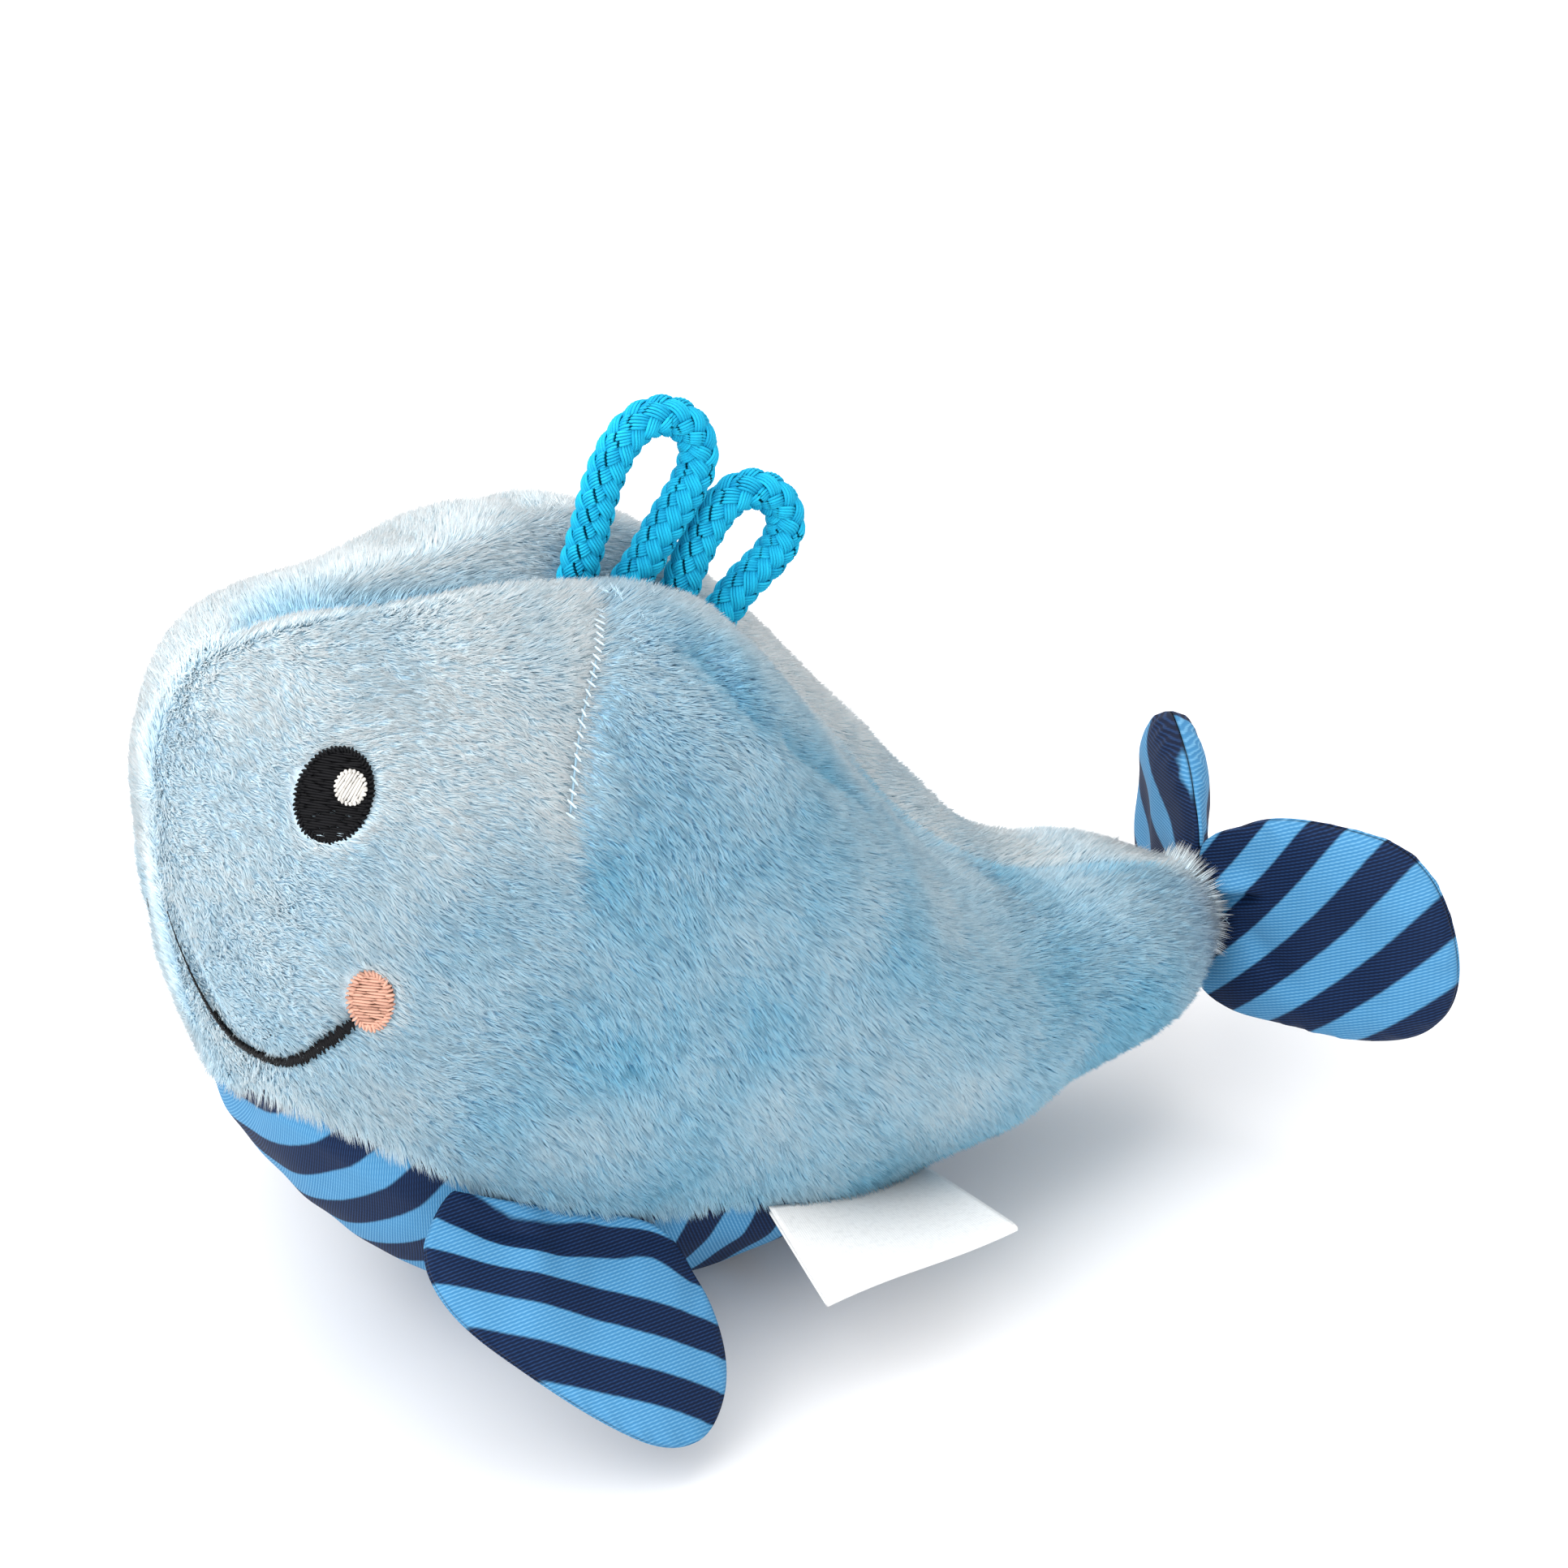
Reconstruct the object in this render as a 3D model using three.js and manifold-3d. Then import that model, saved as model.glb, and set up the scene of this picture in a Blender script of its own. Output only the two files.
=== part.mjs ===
// A soft plush whale rattle, about 16 cm long, nose towards -X, tail towards +X, belly down.
// Millimetres, +Z up. The whale's left side is towards -Y.
//
// Two plush side panels meet at a sunken seam over the back and down the face. A striped twill
// belly panel is let in between them from the chin to the tail. Inside are two halves of wadding
// round a two-part rattle capsule with loose balls. Flippers and flukes are twill envelopes with a
// thin wadding core, sewn in at their roots. Two loops of braided cord make the spout.

import * as THREE from 'three';
import { mergeVertices } from 'three/addons/utils/BufferGeometryUtils.js';
import Module from 'manifold-3d';

const wasm = await Module();
wasm.setup();

const DEG = Math.PI / 180;

// Clearances
const SEAM_GAP = 0.3; // between cloth pieces that are sewn together
const SEAT_GAP = 0.3; // between a piece and the pocket or face that carries it
const WADDING_GAP = 0.8; // between the wadding and the cloth round it

// Body outline, one row a station from the nose (0) to the tail seam (1): the ridge of the back,
// the keel of the belly, the half width, how full the upper and lower halves of the section are,
// and how deep the seam is sunk between the two sides.
const STATIONS = [
  { at: 0.0, ridge: [-62.2, 78.0], keel: [-62.2, 78.0], half: 0.0, upper: 2.2, lower: 1.9, valley: 0.0 },
  { at: 0.03, ridge: [-62.2, 83.5], keel: [-62.6, 72.0], half: 5.0, upper: 2.2, lower: 1.9, valley: 0.6 },
  { at: 0.08, ridge: [-60.0, 89.3], keel: [-62.3, 62.0], half: 10.2, upper: 2.2, lower: 1.9, valley: 1.0 },
  { at: 0.15, ridge: [-55.0, 94.8], keel: [-60.4, 49.0], half: 18.4, upper: 2.2, lower: 1.9, valley: 1.4 },
  { at: 0.22, ridge: [-46.0, 98.6], keel: [-55.8, 34.5], half: 27.8, upper: 2.3, lower: 1.9, valley: 1.8 },
  { at: 0.3, ridge: [-34.0, 99.9], keel: [-46.0, 19.0], half: 35.0, upper: 2.6, lower: 1.9, valley: 2.8 },
  { at: 0.4, ridge: [-19.0, 100.0], keel: [-30.0, 5.9], half: 38.3, upper: 2.9, lower: 1.95, valley: 4.0 },
  { at: 0.5, ridge: [-3.0, 97.2], keel: [-11.0, 1.4], half: 38.2, upper: 3.0, lower: 2.0, valley: 4.7 },
  { at: 0.6, ridge: [13.0, 87.5], keel: [7.0, 2.2], half: 36.7, upper: 3.0, lower: 1.95, valley: 4.8 },
  { at: 0.7, ridge: [28.0, 68.8], keel: [24.0, 6.6], half: 33.3, upper: 2.8, lower: 1.85, valley: 4.4 },
  { at: 0.8, ridge: [41.5, 52.5], keel: [40.5, 10.6], half: 28.0, upper: 2.4, lower: 1.8, valley: 2.8 },
  { at: 0.9, ridge: [56.5, 43.7], keel: [57.5, 14.8], half: 20.5, upper: 2.2, lower: 1.85, valley: 1.4 },
  { at: 0.965, ridge: [70.5, 42.0], keel: [71.5, 19.8], half: 15.0, upper: 2.2, lower: 1.9, valley: 1.0 },
  { at: 1.0, ridge: [77.4, 38.7], keel: [77.8, 25.3], half: 6.8, upper: 2.2, lower: 1.9, valley: 0.6 },
];
const VALLEY_WIDTH = 6.0;

// Cloths
const PLUSH_THICKNESS = 3.0; // knit backing and pile together
const TWILL_THICKNESS = 1.3;
const TWILL_SINK = 0.5; // how far the twill lies under the tips of the plush pile
const REST_CUT = 0.5; // depth of the flat that the belly stands on

// Belly panel: a leaf from the chin to the tail, widest under the flippers
const BELLY_FRONT = 0.185;
const BELLY_WIDEST = 0.45;
const BELLY_BACK = 0.84;
const BELLY_SPREAD = 61 * DEG;

// Rattle
const CAPSULE_CENTRE = new THREE.Vector3(-14, 0, 44);
const CAPSULE_RADIUS = 15;
const CAPSULE_HALF_LENGTH = 13;
const CAPSULE_WALL = 1.5;
const CAPSULE_EDGE = 3.5; // bevel of the closed ends
const CAPSULE_LIP = 3; // how far one half plugs into the other
const BALL_RADIUS = 2.6;
const BALL_STEP = 36 * DEG; // from one ball's lane to the next, round the capsule
const BALL_REST = [-4.5, 3.5, 0.5, -2.5, 5.0]; // where each ball lies along its lane

// Flippers: the outline is seen square on, along the root and out from it
const FIN_FRONT = 0.318;
const FIN_BACK = 0.478;
const FIN_DROOP = 48 * DEG;
const FIN_THICKNESS = 5.6;
const FIN_ROOT_THICKNESS = 2.2;
const FIN_OUTLINE = [
  [-12.5, 0], [-15.6, 4], [-14.6, 8.8], [-10.6, 13.2], [-4.6, 17], [3.2, 20.9], [10, 23.8],
  [14.8, 24.5], [18.6, 22], [20.6, 16.5], [19.9, 11.3], [16.4, 4.7], [12.5, 0],
];

// Flukes: the outline is seen square on, out from the root and up
const FLUKE_LEFT = { spread: 61 * DEG, droop: 0 }; // from straight back, and down from level
const FLUKE_RIGHT = { spread: 68 * DEG, droop: 6 * DEG };
const FLUKE_OFFSET = 2.4; // of each root from the middle
const FLUKE_ROOT = 13; // gathered height of each root
const FLUKE_THICKNESS = 7.0;
const FLUKE_ROOT_THICKNESS = 2.6;
const FLUKE_OUTLINE = [
  [0, -FLUKE_ROOT / 2], [4.2, -11], [9.5, -13], [16, -13.2], [23.5, -12], [30, -9.5], [34.2, -5.5], [36, 0],
  [35, 6.5], [32.4, 12], [28.6, 15.6], [22.5, 16.8], [15, 16.4], [9, 14.8], [3.8, 11], [0, FLUKE_ROOT / 2],
];
const CLOTH_THICKNESS = 0.8; // of the flipper and fluke envelopes
const LIMB_FILL = 0.45; // share of a limb's reach at which it is fully padded
const LIMB_CROWN = 2.6; // how squarely the padding falls off to the edge seam

// Spout: the cord's middle line in the plane of the back seam, from one sewn end to the other
const CORD_RADIUS = 2.4;
const CORD_SIDES = 10;
const FRONT_LOOP = [
  [-8.4, 95.8], [-8.0, 97.4], [-6.8, 101.0], [-5.6, 105.0], [-3.6, 109.5], [-0.7, 112.6], [2.6, 113.2],
  [5.5, 111.6], [6.9, 108.6], [6.3, 105.2], [4.2, 101.8], [1.4, 97.8], [-0.1, 95.5], [-0.9, 94.5],
];
const REAR_LOOP = [
  [4.5, 91.4], [5.5, 93.8], [6.7, 96.2], [8.2, 98.6], [10.2, 100.9], [13.0, 102.1], [16.0, 101.1],
  [18.0, 98.4], [17.8, 95.2], [15.6, 92.4], [12.6, 90.0], [10.4, 87.6],
];

// Care label: a blank satin ribbon folded in two, its ends sewn into the left belly seam
const LABEL_FRONT = 0.56;
const LABEL_BACK = 0.73;
const LABEL_WIDTH = 25.4;
const LABEL_REACH = 18.0;
const LABEL_SET = 1.5; // of the fold towards the tail
const LABEL_LIFT = 0.4; // of the fold above the seam
const LABEL_TWIST = 4.0; // rise of the fold towards the tail
const LABEL_LAYER = 0.35;
const LABEL_SPLIT = 0.5; // between the two layers

// Embroidery, by station and by angle round from the ridge
const EYE = { at: 0.2205, round: 56.6 * DEG, long: 5.7, short: 4.55, lean: -17 * DEG };
const SHINE = { at: 0.2325, round: 54.7 * DEG, long: 2.2, short: 2.0, lean: 0 };
const CHEEK = { at: 0.249, round: 92.3 * DEG, long: 3.6, short: 2.8, lean: -5 * DEG };
const STITCH_TOP = 0.2; // satin stitch below the tips of the pile
const STITCH_BACK = 1.3;
const POCKET_TOP = -2.0; // a pocket's cutter starts above the pile
const SHINE_TOP = -0.2;
const SHINE_BACK = 0.5;
const PATCH_RINGS = [0, 0.55, 1];
const MOUTH_RADIUS = 0.55;
const MOUTH_DEPTH = 0.7;
const MOUTH = [
  [0.072, 174], [0.092, 158], [0.118, 145], [0.144, 141], [0.169, 137], [0.193, 129], [0.215, 118], [0.233, 105],
];
const DART_RADIUS = 0.4;
const DART_DEPTH = 0.6;
const DART = [[0.452, 12], [0.435, 23], [0.418, 33], [0.405, 41], [0.395, 49], [0.386, 60]];

// Fineness of the meshes
const ROWS_ALONG = [
  0, 0.015, 0.035, 0.06, 0.09, 0.12, 0.15, 0.185, 0.192, 0.205, 0.23, 0.265, 0.3, 0.345, 0.39, 0.44, 0.49,
  0.54, 0.59, 0.64, 0.69, 0.74, 0.785, 0.815, 0.84, 0.885, 0.93, 0.965, 0.985, 1,
];
const ROWS_ROUND = [0, 0.02, 0.05, 0.09, 0.15, 0.23, 0.33, 0.44, 0.55, 0.66, 0.77, 0.88, 1];
const BELLY_COLUMNS = 9;
const OUTLINE_STEPS = 24;
const CLOTH_RINGS = [0, 0.45, 0.8, 1];
const CORE_RINGS = [0, 0.45, 0.78];
const CORD_STEPS = 20;
const MOUTH_STEPS = 16;
const DART_STEPS = 8;
const THREAD_SIDES = 6;

// Colours
const PLUSH_BLUE = 0xa3c6de;
const STRIPE_NAVY = 0x1f3560;
const CORD_CYAN = 0x16a3d6;
const COLOURS = {
  plush: { color: PLUSH_BLUE, roughness: 0.95, metalness: 0 },
  twill: { color: STRIPE_NAVY, roughness: 0.75, metalness: 0 },
  wadding: { color: 0xf2f2ee, roughness: 1, metalness: 0 },
  capsule: { color: 0xe9edf0, roughness: 0.35, metalness: 0 },
  ball: { color: 0xb8bcc2, roughness: 0.3, metalness: 0.9 },
  cord: { color: CORD_CYAN, roughness: 0.8, metalness: 0 },
  label: { color: 0xf1eeec, roughness: 0.6, metalness: 0 },
  black: { color: 0x151517, roughness: 0.6, metalness: 0 },
  white: { color: 0xf4f2ee, roughness: 0.6, metalness: 0 },
  pink: { color: 0xe6b4a6, roughness: 0.6, metalness: 0 },
  thread: { color: 0x8fb4cf, roughness: 0.8, metalness: 0 },
};

// A smooth line through values at the stations: a natural cubic spline.
function smooth(values) {
  const x = STATIONS.map((row) => row.at);
  const n = x.length;
  const bend = new Array(n).fill(0);
  const upper = new Array(n).fill(0);
  for (let i = 1; i < n - 1; i++) {
    const before = x[i] - x[i - 1];
    const after = x[i + 1] - x[i];
    const pull = 3 * ((values[i + 1] - values[i]) / after - (values[i] - values[i - 1]) / before);
    const pivot = 2 * (before + after) - before * upper[i - 1];
    upper[i] = after / pivot;
    bend[i] = (pull - before * bend[i - 1]) / pivot;
  }
  for (let i = n - 2; i > 0; i--) bend[i] -= upper[i] * bend[i + 1];
  return (at) => {
    let i = 0;
    while (i < n - 2 && at > x[i + 1]) i++;
    const span = x[i + 1] - x[i];
    const slope = (values[i + 1] - values[i]) / span - (span * (2 * bend[i] + bend[i + 1])) / 3;
    const t = at - x[i];
    return values[i] + slope * t + bend[i] * t * t + ((bend[i + 1] - bend[i]) / (3 * span)) * t ** 3;
  };
}

const ridgeX = smooth(STATIONS.map((row) => row.ridge[0]));
const ridgeZ = smooth(STATIONS.map((row) => row.ridge[1]));
const keelX = smooth(STATIONS.map((row) => row.keel[0]));
const keelZ = smooth(STATIONS.map((row) => row.keel[1]));
const halfWidth = smooth(STATIONS.map((row) => row.half));
const upperFullness = smooth(STATIONS.map((row) => row.upper));
const lowerFullness = smooth(STATIONS.map((row) => row.lower));
const valleyDepth = smooth(STATIONS.map((row) => row.valley));

const signedPower = (value, power) => Math.sign(value) * Math.abs(value) ** power;

// The body's outer face: at runs from nose to tail, round from the ridge (0) down the left side
// to the keel (pi) and up the right side.
function skin(at, round) {
  const c = Math.cos(round);
  const fullness = c > 0 ? upperFullness(at) : lowerFullness(at);
  const across = halfWidth(at) * signedPower(Math.sin(round), 2 / fullness);
  const down = (1 - signedPower(c, 2 / fullness)) / 2;
  const top = new THREE.Vector3(ridgeX(at), 0, ridgeZ(at));
  const low = new THREE.Vector3(keelX(at), 0, keelZ(at));
  const place = top.clone().lerp(low, down);
  if (c > 0 && at > 0) {
    const sink = valleyDepth(at) * Math.exp(-((across / VALLEY_WIDTH) ** 2));
    place.addScaledVector(top.sub(low).normalize(), -sink);
  }
  place.y = -across;
  return place;
}

// The face's outward direction.
function outward(at, round) {
  const step = 0.004;
  if (at < step) return new THREE.Vector3(-1, 0, 0);
  const along = skin(Math.min(at + step, 1), round).sub(skin(at - step, round));
  const across = skin(at, round + 2 * step).sub(skin(at, round - 2 * step));
  return across.cross(along).normalize();
}

// A point so far below the outer face.
function under(at, round, depth) {
  return skin(at, round).addScaledVector(outward(at, round), -depth);
}

// Where a point near the left side is on the face, as station and angle.
function nearest(point, at, round) {
  const step = 0.002;
  for (let i = 0; i < 12; i++) {
    const place = skin(at, round);
    const along = skin(at + step, round).sub(place).divideScalar(step);
    const across = skin(at, round + step).sub(place).divideScalar(step);
    const off = point.clone().sub(place);
    at += off.dot(along) / along.lengthSq();
    round += off.dot(across) / across.lengthSq();
  }
  return [at, round];
}

// The angle at which the belly panel's left edge runs.
function bellySeam(at) {
  if (at <= BELLY_FRONT || at >= BELLY_BACK) return Math.PI;
  if (at < BELLY_WIDEST) {
    const u = (BELLY_WIDEST - at) / (BELLY_WIDEST - BELLY_FRONT);
    return Math.PI - BELLY_SPREAD * (1 - u ** 4) ** 0.36;
  }
  const u = (at - BELLY_WIDEST) / (BELLY_BACK - BELLY_WIDEST);
  return Math.PI - BELLY_SPREAD * (1 - u ** 2) ** 0.7;
}

// Half the seam's gap as an angle at this station.
function gapAngle(at) {
  const round = bellySeam(at);
  const step = 0.01;
  const length = skin(at, round).distanceTo(skin(at, round - step)) / step;
  return SEAM_GAP / 2 / length;
}

// An indexed geometry from triangles of points, with equal points merged, faces that have no
// width dropped, and the faces turned outwards.
function solidFrom(triangles) {
  const index = new Map();
  const places = [];
  const indexOf = (p) => {
    const key = [p.x, p.y, p.z].map((v) => Math.round(v * 1000)).join(' ');
    if (!index.has(key)) {
      index.set(key, places.length / 3);
      places.push(p.x, p.y, p.z);
    }
    return index.get(key);
  };
  let faces = [];
  let volume = 0;
  for (const [a, b, c] of triangles) {
    const face = [indexOf(a), indexOf(b), indexOf(c)];
    if (new Set(face).size < 3) continue;
    faces.push(face);
    volume += a.dot(b.clone().cross(c));
  }
  if (volume < 0) faces = faces.map(([a, b, c]) => [a, c, b]);
  const geometry = new THREE.BufferGeometry();
  geometry.setAttribute('position', new THREE.Float32BufferAttribute(places, 3));
  geometry.setIndex(faces.flat());
  return geometry;
}

// A closed wall between two grids of points of the same size. With round, the first and last
// columns are the same line.
function wall(outer, inner, round = false) {
  const triangles = [];
  const quad = (a, b, c, d) => triangles.push([a, b, c], [a, c, d]);
  const rows = outer.length - 1;
  const columns = outer[0].length - 1;
  for (let i = 0; i < rows; i++) {
    for (let j = 0; j < columns; j++) {
      quad(outer[i][j], outer[i + 1][j], outer[i + 1][j + 1], outer[i][j + 1]);
      quad(inner[i][j], inner[i][j + 1], inner[i + 1][j + 1], inner[i + 1][j]);
    }
    if (!round) {
      quad(outer[i][0], inner[i][0], inner[i + 1][0], outer[i + 1][0]);
      quad(outer[i][columns], outer[i + 1][columns], inner[i + 1][columns], inner[i][columns]);
    }
  }
  for (let j = 0; j < columns; j++) {
    quad(outer[0][j], outer[0][j + 1], inner[0][j + 1], inner[0][j]);
    quad(outer[rows][j], inner[rows][j], inner[rows][j + 1], outer[rows][j + 1]);
  }
  return solidFrom(triangles);
}

function manifoldOf(geometry) {
  const bare = new THREE.BufferGeometry();
  bare.setAttribute('position', geometry.getAttribute('position').clone());
  if (geometry.index) bare.setIndex(geometry.index.clone());
  const merged = mergeVertices(bare, 1e-4);
  return new wasm.Manifold(
    new wasm.Mesh({
      numProp: 3,
      vertProperties: new Float32Array(merged.getAttribute('position').array),
      triVerts: new Uint32Array(merged.index.array),
    }),
  );
}

function geometryOf(solid) {
  const mesh = solid.getMesh();
  const geometry = new THREE.BufferGeometry();
  geometry.setAttribute('position', new THREE.Float32BufferAttribute(mesh.vertProperties, 3));
  geometry.setIndex(Array.from(mesh.triVerts));
  return geometry;
}

function cut(geometry, tools) {
  let solid = manifoldOf(geometry);
  for (const tool of tools) solid = solid.subtract(manifoldOf(tool));
  return geometryOf(solid);
}

// The same piece on the right side.
function mirrored(geometry) {
  const twin = geometry.clone();
  const place = twin.getAttribute('position');
  for (let i = 0; i < place.count; i++) place.setY(i, -place.getY(i));
  const corners = twin.index.array;
  for (let i = 0; i < corners.length; i += 3) {
    [corners[i + 1], corners[i + 2]] = [corners[i + 2], corners[i + 1]];
  }
  return twin;
}

// A round tube along a curve.
function tube(curve, radius, sides, steps) {
  const section = new THREE.Shape();
  for (let i = 0; i < sides; i++) {
    const turn = (i / sides) * 2 * Math.PI;
    if (i === 0) section.moveTo(radius * Math.cos(turn), radius * Math.sin(turn));
    else section.lineTo(radius * Math.cos(turn), radius * Math.sin(turn));
  }
  section.closePath();
  const swept = new THREE.ExtrudeGeometry(section, { extrudePath: curve, steps, bevelEnabled: false });
  swept.deleteAttribute('normal');
  swept.deleteAttribute('uv');
  return mergeVertices(swept, 1e-4);
}

// The left plush panel, before its pockets are cut.
function plushPanel() {
  const outer = [];
  const inner = [];
  for (const at of ROWS_ALONG) {
    const last = bellySeam(at) - (bellySeam(at) < Math.PI ? gapAngle(at) : 0);
    const face = ROWS_ROUND.map((share) => skin(at, share * last));
    const back = ROWS_ROUND.map((share) => under(at, share * last, PLUSH_THICKNESS));
    for (const point of [...face, ...back]) point.y = Math.min(point.y, -SEAM_GAP / 2);
    outer.push(face);
    inner.push(back);
  }
  return wall(outer, inner);
}

// The belly panel, cut flat where it stands. Also gives the height of that flat.
function bellyPanel() {
  const outer = [];
  const inner = [];
  const rows = ROWS_ALONG.filter((at) => at > BELLY_FRONT && at < BELLY_BACK);
  for (const at of [...rows, BELLY_BACK - 0.012]) {
    const first = bellySeam(at) + gapAngle(at);
    const angles = [];
    for (let i = 0; i <= BELLY_COLUMNS; i++) {
      angles.push(first + (2 * (Math.PI - first) * i) / BELLY_COLUMNS);
    }
    outer.push(angles.map((round) => under(at, round, TWILL_SINK)));
    inner.push(angles.map((round) => under(at, round, TWILL_SINK + TWILL_THICKNESS)));
  }
  const panel = wall(outer, inner);
  panel.computeBoundingBox();
  const floor = panel.boundingBox.min.z + REST_CUT;
  const below = new THREE.BoxGeometry(300, 300, 20);
  below.translate(0, 0, floor - 10);
  return { geometry: cut(panel, [below]), floor };
}

// A patch of satin stitch on the left side: an oval laid on the face, from top to back in depth.
function ovalPatch(oval, grow, top, back) {
  const centre = skin(oval.at, oval.round);
  const normal = outward(oval.at, oval.round);
  const up = new THREE.Vector3(0, 0, 1).addScaledVector(normal, -normal.z).normalize();
  up.applyAxisAngle(normal, oval.lean);
  const aside = up.clone().cross(normal);
  const outer = [];
  const inner = [];
  for (const ring of PATCH_RINGS) {
    const face = [];
    const rear = [];
    for (let i = 0; i <= OUTLINE_STEPS; i++) {
      const turn = ((i % OUTLINE_STEPS) / OUTLINE_STEPS) * 2 * Math.PI;
      const point = centre
        .clone()
        .addScaledVector(up, ring * (oval.long + grow) * Math.cos(turn))
        .addScaledVector(aside, ring * (oval.short + grow) * Math.sin(turn));
      const [at, round] = nearest(point, oval.at, oval.round);
      face.push(under(at, round, top));
      rear.push(under(at, round, back));
    }
    outer.push(face);
    inner.push(rear);
  }
  return wall(outer, inner, true);
}

// A line of stitches on the left side through points of station and angle in degrees.
function stitchLine(points, depth, radius, steps) {
  const places = points.map(([at, degrees]) => under(at, degrees * DEG, depth));
  return tube(new THREE.CatmullRomCurve3(places), radius, THREAD_SIDES, steps);
}

// One half of the wadding: it fills the left panel and half of the belly, round half a capsule.
function waddingHalf(pocket) {
  const depth = PLUSH_THICKNESS + WADDING_GAP;
  const face = [];
  const middle = [];
  for (const at of ROWS_ALONG.filter((row) => row >= 0.09 && row <= 0.965)) {
    const row = ROWS_ROUND.map((share) => under(at, share * Math.PI, depth));
    for (const point of row) point.y = Math.min(point.y, -SEAM_GAP / 2);
    const top = row[0];
    const low = row[row.length - 1];
    face.push(row);
    middle.push(ROWS_ROUND.map((share) => top.clone().lerp(low, share)));
  }
  return cut(wall(face, middle), [pocket]);
}

// A solid of revolution about the capsule's axis, which lies across the body.
function turned(profile, segments = 24) {
  const geometry = new THREE.LatheGeometry(profile.map(([r, y]) => new THREE.Vector2(r, y)), segments);
  geometry.deleteAttribute('normal');
  geometry.deleteAttribute('uv');
  const merged = mergeVertices(geometry, 1e-4);
  const corners = merged.index.array;
  const place = merged.getAttribute('position');
  const triangles = [];
  const point = (i) => new THREE.Vector3().fromBufferAttribute(place, i).add(CAPSULE_CENTRE);
  for (let i = 0; i < corners.length; i += 3) {
    triangles.push([point(corners[i]), point(corners[i + 1]), point(corners[i + 2])]);
  }
  return solidFrom(triangles);
}

const capsuleBore = CAPSULE_RADIUS - 2 * CAPSULE_WALL - SEAT_GAP;

// The half with the plug, on the left.
function capsulePlugHalf() {
  const end = -CAPSULE_HALF_LENGTH;
  const plug = capsuleBore + CAPSULE_WALL;
  return turned([
    [0, end], [CAPSULE_RADIUS - CAPSULE_EDGE, end], [CAPSULE_RADIUS, end + CAPSULE_EDGE],
    [CAPSULE_RADIUS, -SEAT_GAP / 2], [plug, -SEAT_GAP / 2], [plug, CAPSULE_LIP], [capsuleBore, CAPSULE_LIP],
    [capsuleBore, end + CAPSULE_EDGE], [capsuleBore - CAPSULE_WALL, end + CAPSULE_WALL], [0, end + CAPSULE_WALL],
  ]);
}

// The half with the socket, on the right.
function capsuleSocketHalf() {
  const end = CAPSULE_HALF_LENGTH;
  const socket = CAPSULE_RADIUS - CAPSULE_WALL;
  return turned([
    [0, end], [CAPSULE_RADIUS - CAPSULE_EDGE, end], [CAPSULE_RADIUS, end - CAPSULE_EDGE],
    [CAPSULE_RADIUS, SEAT_GAP / 2], [socket, SEAT_GAP / 2], [socket, CAPSULE_LIP + SEAT_GAP],
    [capsuleBore, CAPSULE_LIP + SEAT_GAP], [capsuleBore, end - CAPSULE_EDGE],
    [capsuleBore - CAPSULE_WALL, end - CAPSULE_WALL], [0, end - CAPSULE_WALL],
  ]);
}

function capsulePocket() {
  const radius = CAPSULE_RADIUS + SEAT_GAP;
  const end = CAPSULE_HALF_LENGTH + SEAT_GAP;
  return turned([
    [0, -end], [radius - CAPSULE_EDGE, -end], [radius, CAPSULE_EDGE - end],
    [radius, end - CAPSULE_EDGE], [radius - CAPSULE_EDGE, end], [0, end],
  ]);
}

// One loose ball in its lane along the bottom of the capsule.
function ball(number) {
  const lane = capsuleBore - BALL_RADIUS - SEAT_GAP;
  const turn = (number - (BALL_REST.length - 1) / 2) * BALL_STEP;
  const geometry = new THREE.IcosahedronGeometry(BALL_RADIUS, 1);
  geometry.deleteAttribute('normal');
  geometry.deleteAttribute('uv');
  geometry.translate(lane * Math.sin(turn), BALL_REST[number], -lane * Math.cos(turn));
  geometry.translate(CAPSULE_CENTRE.x, CAPSULE_CENTRE.y, CAPSULE_CENTRE.z);
  return mergeVertices(geometry, 1e-4);
}

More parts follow.
